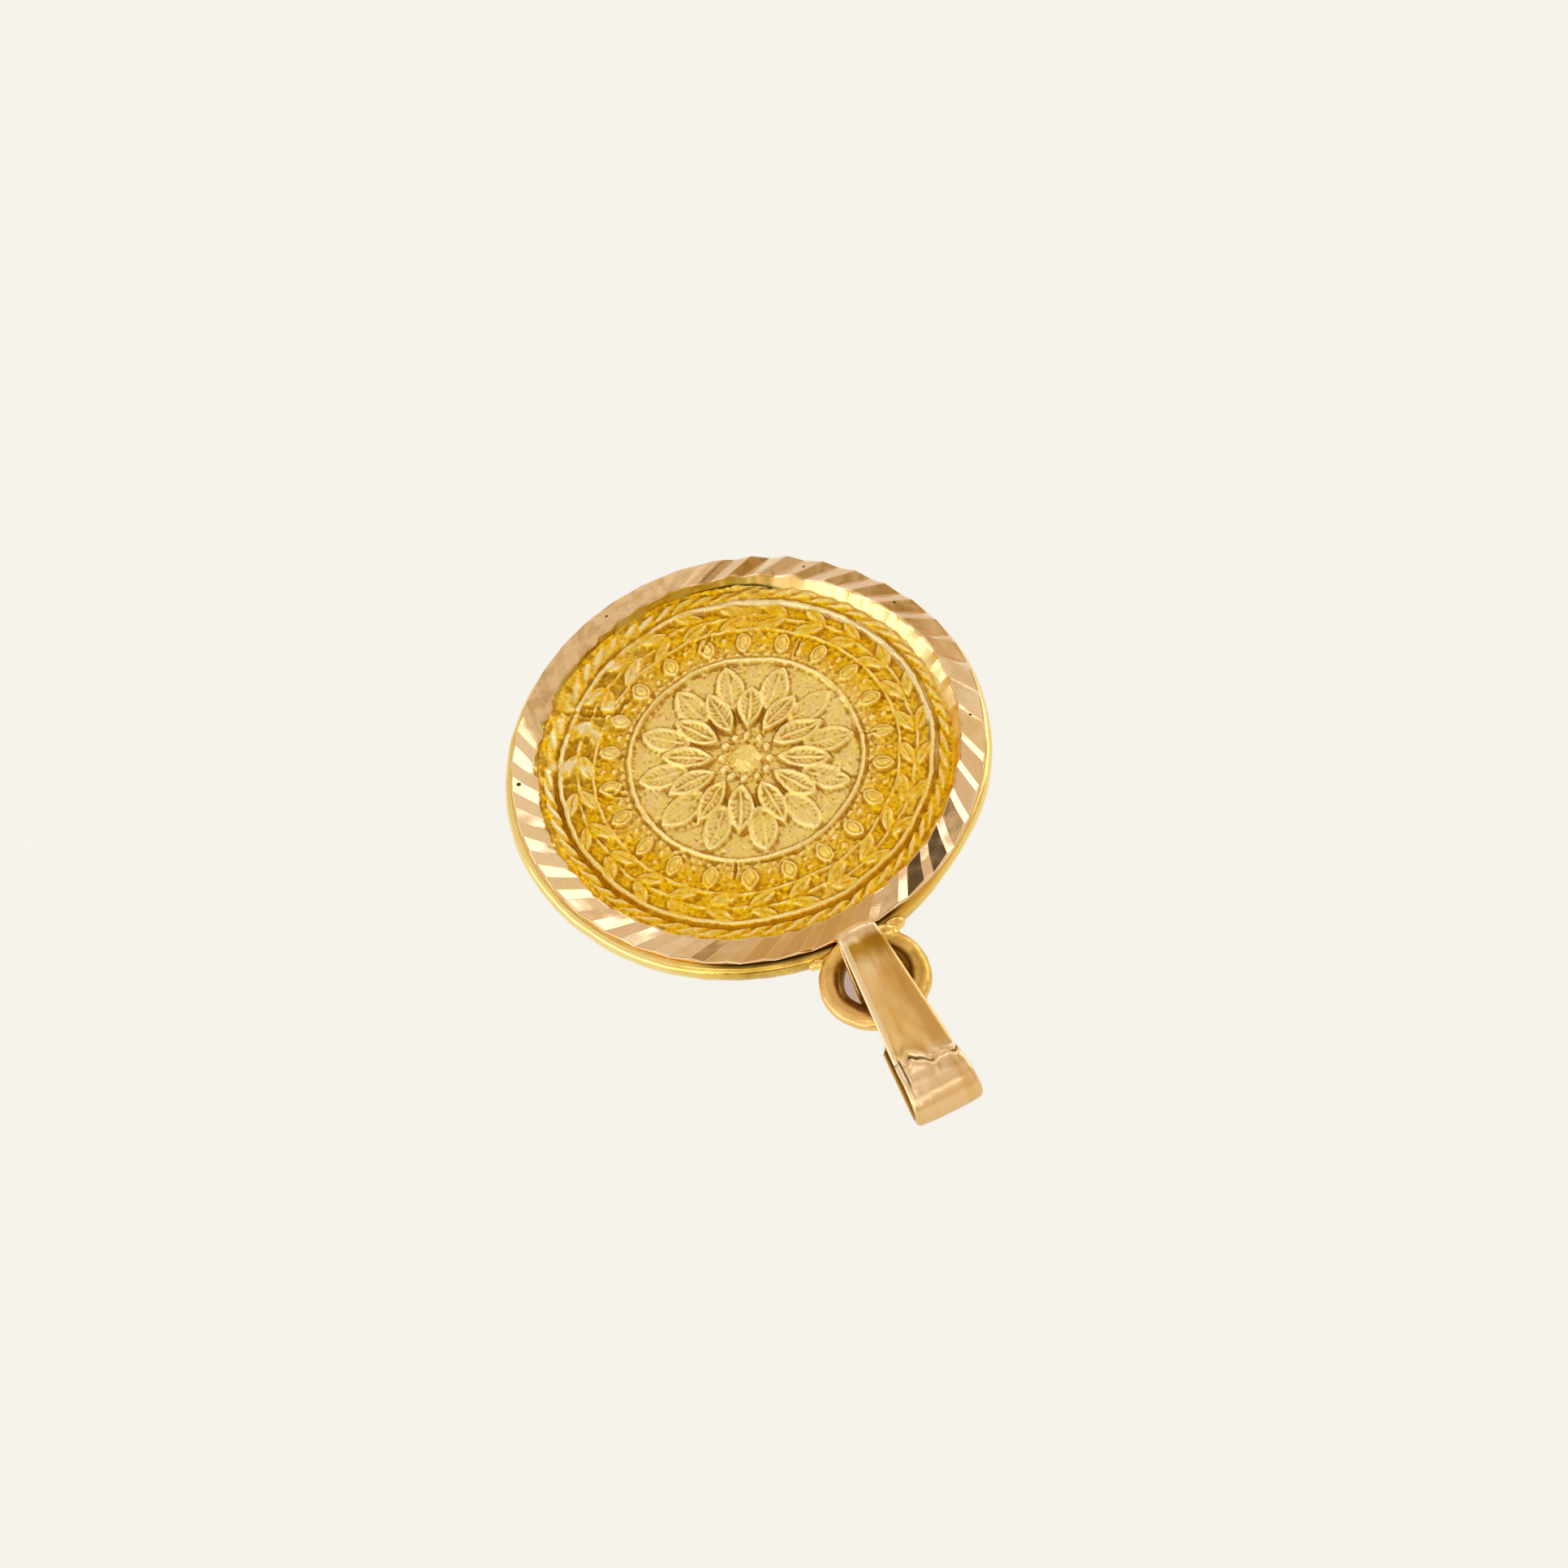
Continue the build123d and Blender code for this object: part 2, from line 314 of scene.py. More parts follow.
def nearSpoke(radius, angle, count, centre, turn=0.0, offset=0.0):
    # along and across a motif whose copies sit on the spokes
    off = spokes(angle, count, offset)
    outward, sideways = radius * np.cos(off) - centre, radius * np.sin(off)
    c, s = math.cos(math.radians(turn)), math.sin(math.radians(turn))
    return outward * c + sideways * s, sideways * c - outward * s


def ovalDepth(along, across, length, width):
    # how deep a point lies inside a pointed oval
    a, b = length / 2, width / 2
    arc = (a * a + b * b) / (2 * b)
    return arc - np.sqrt(along**2 + (np.abs(across) + arc - b) ** 2)


def line(radius, angle, middle, width, height):
    return height * ease(0, 0.10, width / 2 - np.abs(radius - middle))


def beads(radius, angle, centre, size, height, count, offset):
    along, across = nearSpoke(radius, angle, count, centre, 0, offset)
    return height * np.sqrt(np.clip(1 - (along**2 + across**2) / size**2, 0, 1))


def ticks(radius, angle, start, end, height, count):
    # a milled band of short bars, as wide as the gaps between them
    across = np.abs(spokes(angle, count)) * radius
    width = fullTurn * (start + end) / 2 / count / 4
    depth = np.minimum(width - across, np.minimum(radius - start, end - radius))
    return height * ease(-0.02, 0.03, depth)


def veins(along, across, spec):
    # fine lines that slant away from a midrib, from 0 to 1
    return 0.5 + 0.5 * np.cos(fullTurn * (along - spec["veinSlant"] * np.abs(across)) / spec["veinGap"])


def petals(radius, angle, start, end, width, height, hollow, offset):
    # petals with a raised edge, a hollow inside, a midrib and slanting veins
    petal, length = relief["petal"], end - start
    along, across = nearSpoke(radius, angle, petal["count"], (start + end) / 2, 0, offset)
    depth = ovalDepth(along, across, length, width)
    inside = ease(0.06, 0.25, depth)
    rib = petal["rib"] * hump(across, 0, petal["ribWidth"]) * ease(-0.46 * length, -0.30 * length, along)
    lines = veins(along, across, petal) * ease(0.08, 0.2, np.abs(across))
    shape = 1 - hollow * inside + inside * (rib + 0.34 * hollow * lines)
    return height * ease(-0.035, 0.045, depth) * shape


def bossShape(radius, angle, spec, seed):
    cap = spec["height"] - (spec["height"] - spec["side"]) * (radius / spec["radius"]) ** 2
    seeds = np.zeros_like(radius)
    x, y = radius * np.cos(angle), radius * np.sin(angle)
    for k in range(seed["count"]):
        reach, turn = seed["gap"] * math.sqrt(k + 0.25), seed["turn"] * k
        far = (x - reach * math.cos(turn)) ** 2 + (y - reach * math.sin(turn)) ** 2
        seeds = np.maximum(seeds, np.sqrt(np.clip(1 - far / seed["size"] ** 2, 0, 1)))
    return (cap + seed["rise"] * (seeds - 0.6)) * ease(-0.03, 0.03, spec["radius"] - radius)


def leafShape(radius, angle, spec, side):
    leaf, centre = relief["leaf"], spec["radius"] + side * spec["spread"]
    along, across = nearSpoke(radius, angle, spec["count"], centre, 90 - side * leaf["turn"])
    depth = ovalDepth(along, across, spec["length"], spec["width"])
    fold = 1 - leaf["fold"] * hump(across, 0, leaf["foldWidth"])
    crown = 0.72 + 0.28 * np.clip(depth / (spec["width"] / 2), 0, 1)
    veined = 0.90 + 0.10 * veins(along, across, leaf)
    return spec["height"] * ease(-0.03, 0.035, depth) * fold * crown * veined


def gougeDepth(x, y, spec):
    # a short scratch with pushed-up lips, as a height below and above the field
    x1, y1, x2, y2, half, depth = spec
    long = math.hypot(x2 - x1, y2 - y1)
    along = ((x - x1) * (x2 - x1) + (y - y1) * (y2 - y1)) / long
    across = ((y - y1) * (x2 - x1) - (x - x1) * (y2 - y1)) / long / half
    ends = ease(-0.05, 0.25 * long, along) * (1 - ease(0.75 * long, long + 0.05, along))
    return depth * ends * (0.55 * np.exp(-((np.abs(across) - 1.5) ** 2) / 0.4) - hump(across, 0, 1))


def reliefForms(radius, angle):
    # the height of each motif by itself
    leaves, lozenges, stem, rope = (relief[k] for k in ("leaves", "lozenges", "stem", "rope"))
    forms = [bossShape(radius, angle, relief["boss"], relief["seeds"])]
    for shape, name in ((petals, "petals"), (line, "lines"), (beads, "beads"), (ticks, "milled")):
        forms += [shape(radius, angle, *spec) for spec in relief[name]]
    # lozenges with a sunk line inside
    along, across = nearSpoke(radius, angle, lozenges["count"], lozenges["radius"])
    depth = ovalDepth(along, across, lozenges["length"], lozenges["width"])
    forms += [lozenges["height"] * ease(-0.03, 0.06, depth) * (1 - 0.55 * hump(depth, 0.13, 0.045))]
    # the wreath: two rows of leaves on a winding stem
    forms += [leafShape(radius, angle, leaves, side) for side in (1, -1)]
    middle = leaves["radius"] + stem["swing"] * np.sin(leaves["count"] / 2 * angle)
    forms += [stem["height"] * ease(-0.03, 0.05, stem["half"] - np.abs(radius - middle))]
    # the rope border
    far = (radius - rope["radius"]) / rope["half"]
    twist = 0.5 + 0.5 * np.cos(rope["count"] * angle + rope["lean"] * far)
    return forms + [rope["height"] * np.sqrt(np.clip(1 - far**2, 0, 1)) * (0.35 + 0.65 * twist**0.7)]


def medalWear():
    # how far each place is rubbed away, from 0 to 1
    wear = np.zeros_like(mapX)
    for x, y, reach, share in wornPlaces:
        far = ((mapX - x) ** 2 + (mapY - y) ** 2) / reach**2
        wear = np.maximum(wear, share * np.exp(-far ** 1.5))
    return np.clip(wear * (1 + 0.35 * grain(0.45, 21)) + 0.10 * grain(0.9, 22) + 0.02, 0, 0.95)


def medalMaps():
    waviness = medal["waviness"]
    x = mapX + waviness * grain(0.50, 11) + 0.30 * waviness * grain(0.10, 12)
    y = mapY + waviness * grain(0.50, 13) + 0.30 * waviness * grain(0.10, 14)
    forms = reliefForms(np.hypot(x, y), np.arctan2(y, x))
    height = blurred(np.maximum.reduce(forms), medal["castSoftness"])
    # wear takes the crests first, and some places are rubbed almost smooth
    wear = medalWear()
    height = height * (1 - wear) + blurred(height, 0.20) * 0.8 * wear
    height += wear**1.5 * (0.085 * grain(0.33, 23) + 0.040 * grain(0.13, 24))
    height += 0.085 * wear * np.clip(grain(0.15, 25) - 0.7, 0, 1.5)
    for spec in gouges:
        height += gougeDepth(x, y, spec)
    ground = 1 - ease(0.03, 0.14, height)
    height += medal["groundGrain"] * grain(0.045, 31) * (0.30 + 0.70 * ground)
    height += medal["groundLumps"] * grain(0.13, 32) * (0.4 + 0.6 * ground) + 0.016 * grain(0.75, 33)
    soft, wide = blurred(height, 0.075), blurred(height, 0.24)
    # the crest and hollow marks carry painted highlights on the crests and painted shade in the hollows into
    # the gold's colour
    return {
        "height": height,
        "crestHighlight": np.clip((height - soft) / 0.040, 0, 1),
        "hollow": np.clip((soft - height) / 0.038, 0, 1),
        "raised": np.clip(0.5 + (height - wide) / 0.16, 0, 1),
        "rubbed": wear,
    }


def sampled(field, x, y):
    side, reach = medal["mapSide"], medal["mapReach"]
    u, v = ((c + reach) / (2 * reach) * (side - 1) for c in (x, y))
    i, j = np.clip(u.astype(int), 0, side - 2), np.clip(v.astype(int), 0, side - 2)
    p, q = u - i, v - j
    low = field[j, i] * (1 - p) + field[j, i + 1] * p
    high = field[j + 1, i] * (1 - p) + field[j + 1, i + 1] * p
    return low * (1 - q) + high * q


def medalBack(radius):
    # the plain back, a shallow dome like the front
    foot = medal["seat"] + medal["backStep"]
    crown = fieldHeight(0.0) - medal["centreThickness"]
    return foot + (crown - foot) * (1 - (radius / medal["backFoot"]) ** 2)


def rolledEdge(radius, angles):
    # the medal's rim turns up to the ring, most of all at the upper left
    more = medal["rolledMore"] * aroundAngle(np.degrees(angles), *medal["rolledPlace"], 4)
    return (medal["rolledEdge"] + more) * ease(7.98 - 0.9 * more, medal["reliefFoot"], radius) ** 1.5


def medalRows(maps, radii, points):
    angles = np.arange(points) * fullTurn / points
    rows = np.array([turnedRow(r, 0.0, angles) for r in radii])
    x, y = rows[..., 0], rows[..., 1]
    radius = np.hypot(x, y)
    fade = 1 - ease(medal["reliefEnd"], medal["reliefFoot"], radius)
    raised = sampled(maps["height"], x, y) * fade + rolledEdge(radius, np.arctan2(y, x))
    rows[..., 2] = fieldHeight(radius) + raised
    marks = {name: sampled(maps[name], x, y) for name in ("crestHighlight", "hollow", "raised", "rubbed")}
    return rows, marks, angles


def medalPiece(name, rows, marks, plain, caps, finish):
    # the plain rows of the edge and the back carry no relief
    plain = np.array(plain)
    marks = {mark: np.vstack([values, np.zeros(plain.shape[:2])]) for mark, values in marks.items()}
    piece = wrapMesh(name, np.concatenate([rows, plain]), caps, marks)
    settle(piece, "medallion", "medal", finish)


def medalCentre(maps, finish):
    seam = medal["seam"] + medal["seamOverlap"]
    radii = np.linspace(0, seam, medal["centreRows"] + 1)[1:]
    rows, marks, angles = medalRows(maps, radii, medal["centrePoints"])
    under = [turnedRow(r, medalBack(r), angles) for r in (seam, 3.4, 1.7)]
    crown = fieldHeight(0.0) + sampled(maps["height"], np.zeros(1), np.zeros(1))[0]
    caps = np.array([[0, 0, crown], [0, 0, medalBack(0.0)]])
    medalPiece("medal_centre", rows, marks, under, caps, finish)


def medalBorder(maps, finish):
    radii = np.concatenate([np.linspace(medal["seam"], 8.46, medal["borderRows"]), [medal["reliefFoot"]]])
    rows, marks, angles = medalRows(maps, radii, medal["borderPoints"])
    edge, top, bevel = medal["edgeRadius"], medal["edgeHeight"], medal["edgeBevel"]
    seat, foot, seam = medal["seat"], medal["backFoot"], medal["seam"]
    outline = [(edge - bevel, top), (edge, top - bevel), (edge, seat + bevel), (edge - bevel, seat)]
    outline += [(foot, seat), (foot - 0.02, medalBack(foot)), (6.4, medalBack(6.4)), (seam, medalBack(seam))]
    plain = [turnedRow(r, z, angles) for r, z in outline]
    medalPiece("medal_border", rows, marks, plain, None, finish)


def medalFinish():
    look = {
        "field": (0.98, 0.65, 0.008),
        "deep": (0.74, 0.39, 0.004),
        "light": (0.99, 0.83, 0.20),
        "centre": (0.98, 0.815, 0.24),
        "pink": (0.97, 0.755, 0.34),
        "hollow": (0.50, 0.26, 0.010),
        "crestHighlight": (0.995, 0.90, 0.48),
        "bright": (1.0, 0.93, 0.60),
        "tarnish": (0.90, 0.79, 0.23),
        "olive": (0.30, 0.25, 0.060),
        "roughness": 0.24,
    }
    material, desk = newFinish("struck_gold")
    crestHighlight, hollow, raised, rubbed = (desk.mark(name) for name in ("crestHighlight", "hollow", "raised", "rubbed"))
    x, y = desk.part("X"), desk.part("Y")
    reach, toLight = x * x + y * y, x * 0.9 + y * 0.44  # reach is squared
    centre = 1 - reach.between(17.0, 34.0)
    patches, mottle = desk.cloud(2.2, 4.0, 0.6), desk.cloud(0.50, 4.0, 0.6)
    grains, fine = desk.cloud(0.20, 4.0, 0.75), desk.cloud(0.08, 3.0, 0.6)
    # paler and pinker in the middle
    look["middle"] = desk.blend(mottle.between(0.36, 0.66), look["centre"], look["pink"])
    # the upper left is rubbed pale, with green-yellow stains
    left = (y - x * 0.95).between(6.5, 9.5)
    pale = rubbed.between(0.25, 0.9) * 0.35 + mottle.between(0.50, 0.60) * 0.45
    # painted highlight: the cove and the outer line catch the light at the upper right
    glow = reach.between(7.95**2, 8.45**2) * toLight.between(5.6, 8.0)
    arc = reach.between(7.40**2, 7.52**2) * reach.between(7.84**2, 7.70**2) * toLight.between(3.0, 6.0)
    specks = desk.cloud(0.22, 4.0, 0.7) * patches.between(0.35, 0.60)
    colour = desk.layered(look, "field", [
        (grains.between(0.58, 0.38) * 0.95, "deep"),
        (grains.between(0.55, 0.68) * 0.95, "light"),
        (centre * 0.92 + patches.between(0.50, 0.72) * 0.22, "middle"),
        # raised parts paler, partly as polish and partly as a painted highlight
        (raised.between(0.50, 1.0) * 0.40, "light"),
        # painted shade: dark brown in the hollows of the relief
        (hollow.between(0.15, 0.95) * 0.85, "hollow"),
        # painted highlight: cream on the crests of the relief
        (crestHighlight.between(0.20, 0.95) * (0.68 + 0.17 * centre), "crestHighlight"),
        (left * pale * grains.between(0.62, 0.46), "tarnish"),
        # painted highlight on the raised lumps of the rubbed upper left, and painted shade in its low spots
        (left * raised.between(0.60, 0.90) * 0.85, "bright"),
        (left * raised.between(0.44, 0.16) * 0.85, "hollow"),
        # painted highlight on the cove and on the outer line
        (glow * 0.7, "crestHighlight"),
        (arc * 0.85, "bright"),
        (specks.between(0.60, 0.72) * 0.7, "olive"),
    ])
    roughness = look["roughness"] + 0.12 * fine - 0.08 * crestHighlight + 0.08 * hollow + 0.06 * grains
    scratches = desk.cloud((0.05, 1.6, 1.0), 2.0, 0.5, 0.4)
    closeFinish(desk, colour, roughness, [(grains, 0.045), (fine, 0.010), (scratches, 0.004)])
    return material


maps = medalMaps()
print("medal relief worked out")
struckGold = medalFinish()
medalCentre(maps, struckGold)
medalBorder(maps, struckGold)


band = {
    "points": 400,
    "rimRadius": 10.0,
    "widest": 0.80,
    "lowerArc": 0.8568,
    "upperArc": 0.3611,
    "upperRise": 0.45,
    "foot": [(8.37, 0.0), (8.9, 0.0), (9.38, 0.0)],
    # the groove under the cut ring, and the wall that holds the medal
    "groove": [(9.50, 1.155), (9.42, 1.15), (9.40, 1.16), (9.39, 1.24), (8.95, 1.24), (8.95, 0.98)],
    "wall": [(8.80, 0.95), (8.80, 0.40), (8.37, 0.40), (8.35, 0.38), (8.35, 0.02)],
    # ring angle and reach of the dent, and how deep it is
    "dentPlace": (301.0, 15.0),
    "dentDepth": 0.20,
    "tuckPlace": (85, 62),
    "tuck": 0.10,
    "wobble": 0.010,
}


def bandOutline():
    rim, widest, low, high = band["rimRadius"], band["widest"], band["lowerArc"], band["upperArc"]
    lowTurns = np.linspace(-math.asin(widest / low), 0, 16)
    highTurns = np.linspace(0, math.acos((high - band["upperRise"]) / high), 13)[1:]
    outline = [(rim - low + low * math.cos(t), widest + low * math.sin(t)) for t in lowTurns]
    outline += [(rim - high + high * math.cos(t), widest + high * math.sin(t)) for t in highTurns]
    return band["foot"] + outline + band["groove"] + band["wall"]


def rimBand(finish):
    angles = np.arange(band["points"]) * fullTurn / band["points"]
    degrees = np.degrees(angles)
    dent = band["dentDepth"] * aroundAngle(degrees, *band["dentPlace"])
    dent += band["tuck"] * aroundAngle(degrees, *band["tuckPlace"], 4)
    wobble = band["wobble"] * (ripple(turnedRow(10.0, 0.0, angles), 6.0, 41) - 2.6)
    rows = []
    for radius, height in bandOutline():
        rows.append(turnedRow(radius + (wobble - dent) * ease(9.40, 9.60, radius), height, angles))
    rows = np.array(rows)
    flat = rows.reshape(-1, 3)
    outside = ease(9.3, 9.6, np.hypot(flat[:, 0], flat[:, 1]))
    flat[:, :2] *= 1 + (0.0006 * (ripple(flat, 1.1, 42) - 2.5) * outside)[:, None]
    piece = wrapMesh("rim_band", flat.reshape(rows.shape))
    settle(piece, "medallion", "frame", finish)


def bandFinish():
    look = {
        "gold": (0.95, 0.74, 0.28),
        "deep": (0.84, 0.54, 0.09),
        "grey": (0.42, 0.38, 0.16),
        "seam": (0.10, 0.06, 0.01),
        "shade": (0.48, 0.29, 0.04),
        "roughness": 0.09,
    }
    material, desk = newFinish("polished_rim_gold")
    patches, fine = desk.cloud(1.6, 4.0, 0.6), desk.cloud(0.10, 3.0, 0.6)
    x, y, height = (desk.part(axis) for axis in "XYZ")
    # painted shade under the ring, most at the lower left, and a painted shadow line in the groove under the
    # ring
    under = y.between(-7.2, -8.6) * x.between(-6.2, -4.2) * x.between(3.6, 1.8)
    groove = (x * x + y * y).between(9.76**2, 9.66**2) * y.between(-7.2, -8.4) * x.between(3.4, 1.6)
    colour = desk.layered(look, "gold", [
        (patches.between(0.50, 0.72) * 0.55, "deep"),
        ((1 - height.between(0.15, 0.75)) * 0.35, "deep"),
        # painted shade: the band is deeper gold on its -Y side
        (y.between(-6.0, -9.2) * 0.85, "deep"),
        (desk.cloud(0.5, 5.0, 0.7).between(0.62, 0.72) * 0.35, "grey"),
        # painted shade under the ring
        (under * patches.between(0.72, 0.42) * 0.9, "shade"),
        # painted shadow: a dark line in the groove
        (groove * 0.9, "seam"),
    ])
    roughness = look["roughness"] + 0.10 * patches + 0.06 * fine
    closeFinish(desk, colour, roughness, [(fine, 0.003), (desk.cloud(0.6), 0.012)])
    return material


rimBand(bandFinish())


cuts = {
    "count": 41,
    "inner": 8.60,
    "outer": 9.60,
    "top": 1.65,
    "slope": 10.5,
    "depth": 0.17,
    "slant": 47.0,
    "wideShare": 0.60,
    # other shares of the wide flank: share, and its ring angle and reach
    "otherShares": [(0.53, 175, 60), (0.64, 345, 40), (0.43, 46, 34)],
    "wornPlace": (76.0, 139.0),
    "wornSlope": 5.0,
    "wornHeight": 1.47,
    "ragged": 0.070,
    "raggedPlace": (138, 55),
    # small black pits: angle round the ring, distance from the axis, radius
    "pits": [
        (157.9, 9.30, 0.085),
        (341.5, 9.22, 0.060),
        (49.0, 9.20, 0.060),
        (103.0, 9.20, 0.050),
        (22.0, 9.15, 0.050),
    ],
    "edgeRound": 0.035,
    "unevenness": 0.006,
    "shift": 0.22,
    "shiftPlace": (-2.0, 32.0),
    "coveFoot": 8.46,
    "coveReach": 0.25,
    "covePlace": (24, 46),
    "gapPlace": (69, 15),
    "startPlace": (58, 11),
    "radialSteps": 16,
    "wallSteps": 8,
    "wideSteps": (0.0, 0.02, 0.06, 0.2, 0.4, 0.6, 0.8, 0.94, 0.98),
    "narrowSteps": (0.0, 0.03, 0.09, 0.35, 0.65, 0.91, 0.97),
}
ringMiddle = (cuts["inner"] + cuts["outer"]) / 2


def cutPlanes(wideShare):
    # the wide and narrow flank of the first cut, each as height = a + b x + c y
    slope, slant = math.radians(cuts["slope"]), math.radians(cuts["slant"])
    pitch = fullTurn * ringMiddle / cuts["count"] * math.cos(slant)
    up = Vector((math.sin(slope), 0, math.cos(slope)))
    along = Vector((math.cos(slope), 0, -math.sin(slope))) * math.cos(slant) - Vector((0, math.sin(slant), 0))
    across = up.cross(along)
    height = cuts["top"] - (ringMiddle - cuts["inner"]) * math.tan(slope)
    valley = Vector((ringMiddle, 0, height)) - up * cuts["depth"]
    planes = []
    for width in (pitch * wideShare, -pitch * (1 - wideShare)):
        normal = up * width - across * cuts["depth"]
        b, c = -normal.x / normal.z, -normal.y / normal.z
        planes.append((valley.z - b * valley.x - c * valley.y, b, c))
    return planes


def turnedPlane(plane, turn):
    a, b, c = plane
    return a, b * math.cos(turn) - c * math.sin(turn), b * math.sin(turn) + c * math.cos(turn)


def meetingAngle(first, second, radius, near):
    # where two planes are equally high, on a circle round the axis
    a, b, c = (p - q for p, q in zip(first, second))
    size = math.hypot(b, c)
    middle, half = math.atan2(c, b), math.acos(max(-1, min(1, -a / (radius * size))))
    found = [middle + half, middle - half]
    found = [(f - near + math.pi) % fullTurn - math.pi + near for f in found]
    return min(found, key=lambda f: abs(f - near))


def flankShares(random):
    # how much of each cut its wide flank takes
    shares = cuts["wideShare"] + random.normal(0, 0.03, cuts["count"])
    degrees = np.arange(cuts["count"]) * 360 / cuts["count"]
    for share, middle, reach in cuts["otherShares"]:
        shares += (share - cuts["wideShare"]) * aroundAngle(degrees, middle, reach, 4)
    return shares


def cutTop(radii):
    # angle, height, facet and tone of each point of the cut top; facet is above 0 on the wide flanks
    count, step = cuts["count"], fullTurn / cuts["count"]
    random = np.random.default_rng(51)
    planes = [cutPlanes(share) for share in flankShares(random)]
    tones = random.uniform(-1, 1, (count, 2))
    valleyShift, ridgeShift = random.normal(0, cuts["unevenness"], (2, count, 2))
    grid = []
    for radius in radii:
        far = radius - ringMiddle
        slant = far * -math.tan(math.radians(cuts["slant"])) / radius
        row = []
        for k in range(count):
            k2 = (k + 1) % count
            wide, narrow = planes[k]
            nextNarrow = turnedPlane(planes[k2][1], step)
            valley = meetingAngle(wide, narrow, radius, slant)
            nextValley = meetingAngle(*planes[k2], radius, slant) + step
            ridge = meetingAngle(wide, nextNarrow, radius, valley + 0.6 * step)
            low, high, nextLow = (s[0] + s[1] * far for s in (valleyShift[k], ridgeShift[k], valleyShift[k2]))
            flanks = [
                (1, cuts["wideSteps"], wide, valley, ridge, low, high),
                (-1, cuts["narrowSteps"], nextNarrow, ridge, nextValley, high, nextLow),
            ]
            for (sign, steps, (a, b, c), start, end, lift, endLift), tone in zip(flanks, tones[k]):
                for t in steps:
                    angle = start + (end - start) * t
                    level = a + radius * (b * math.cos(angle) + c * math.sin(angle))
                    level += lift + (endLift - lift) * t
                    row.append((angle + k * step, level, sign * math.sin(math.pi * t) ** 0.5, tone))
        grid.append(row)
    return np.moveaxis(np.array(grid), -1, 0)


def cutRing(finish):
    inner, outer, edge = cuts["inner"], cuts["outer"], cuts["edgeRound"]
    edges = edge * np.array([0.0, 0.3, 1.0])
    flatSteps = np.linspace(inner + 0.08, outer - 0.08, cuts["radialSteps"])
    radii = np.concatenate([inner + edges, flatSteps, outer - edges[::-1]])
    angles, heights, facets, tones = cutTop(radii)
    degrees, far = np.degrees(angles) % 360, radii[:, None] - ringMiddle
    # the upper left stretch is worn flat
    start, end = cuts["wornPlace"]
    slanted = degrees + 10 * far
    worn = ease(start - 5, start + 2, slanted) * (1 - ease(end - 2, end + 5, slanted))
    flatTop = cuts["wornHeight"] - far * math.tan(math.radians(cuts["wornSlope"]))
    heights = heights + (flatTop + 0.20 * (heights - flatTop) - heights) * worn
    facets = facets * (1 - worn)
    spread = band["dentDepth"] / 2 * aroundAngle(degrees, *band["dentPlace"]) * ease(9.0, 9.6, radii)[:, None]
    spread += cuts["shift"] * aroundAngle(degrees, *cuts["shiftPlace"])
    # the inner edge is ragged, most of all along the worn stretch
    around, innerDegrees = angles[0], degrees[0]
    circle = turnedRow(inner, 0.0, around)
    ragged = cuts["ragged"] * (ripple(circle, 1.0, 55) + 0.6 * ripple(circle, 0.4, 56))
    ragged = ragged * (0.25 + 0.75 * aroundAngle(innerDegrees, *cuts["raggedPlace"], 4))
    spread += ragged * (1 - ease(inner, ringMiddle, radii))[:, None]
    heights[[0, -1]] -= edge
    heights[[1, -2]] -= edge * 0.28
    reach = radii[:, None] + spread
    top = np.stack([reach * np.cos(angles), reach * np.sin(angles), heights], -1)
    flat = top.reshape(-1, 3)
    flat[:, 2] += 0.0016 * ripple(flat, 0.7, 52) + 0.002 * ripple(flat, 2.5, 53)
    under = [turnedRow(r + spread[-1], z, angles[-1]) for r, z in ((9.60, 1.26), (9.58, 1.215))]
    under += [turnedRow(r, z, angles[-1]) for r, z in ((9.42, 1.205), (9.1, 1.19))]
    under += [turnedRow(r, z, around) for r, z in ((8.9, 1.0), (8.58, 0.90))]
    # the inner wall leans in, most of all at the upper right, and meets the medal in a soft cove
    lean = aroundAngle(innerDegrees, *cuts["covePlace"], 4)
    foot = cuts["coveFoot"] - cuts["coveReach"] * lean + 0.02 * ripple(turnedRow(8.5, 0.0, around), 2.2, 54)
    bottom = fieldHeight(foot) + rolledEdge(foot, around) - 0.03
    wall = [turnedRow(foot + 0.04, bottom - 0.05, around)]
    for k in range(cuts["wallSteps"]):
        share = k / cuts["wallSteps"]
        rise = (heights[0] - bottom) * share ** (1.15 - 0.15 * lean)
        wall.append(turnedRow(foot + (reach[0] - foot) * share, bottom + rise, around))
    # painted shadow in the gap between the wall and the medal, and an olive painted shade along the upper
    # left, which partly also gives the green stain there
    gapShadow = np.clip(1 - (np.arange(len(wall)) - 2.0) / 3, 0, 1)[:, None]
    shaded = ease(53, 64, innerDegrees + 5 * ripple(circle, 0.5, 57)) * (1 - ease(170, 200, innerDegrees))
    gap, start = (aroundAngle(innerDegrees, *cuts[k], 4) for k in ("gapPlace", "startPlace"))
    onTop = {"facet": facets, "tone": tones, "worn": worn}
    onWall = {"wall": 1.0, "gap": gapShadow * gap, "shaded": shaded, "start": start}
    marks = {}
    for name in (*onTop, *onWall):
        parts = ((onTop.get(name, 0.0), top), (0.0, under), (onWall.get(name, 0.0), wall))
        marks[name] = np.vstack([np.broadcast_to(value, (len(rows), len(around))) for value, rows in parts])
    piece = wrapMesh("cut_ring", np.concatenate([top, under, wall]), None, marks)
    settle(piece, "medallion", "frame", finish)


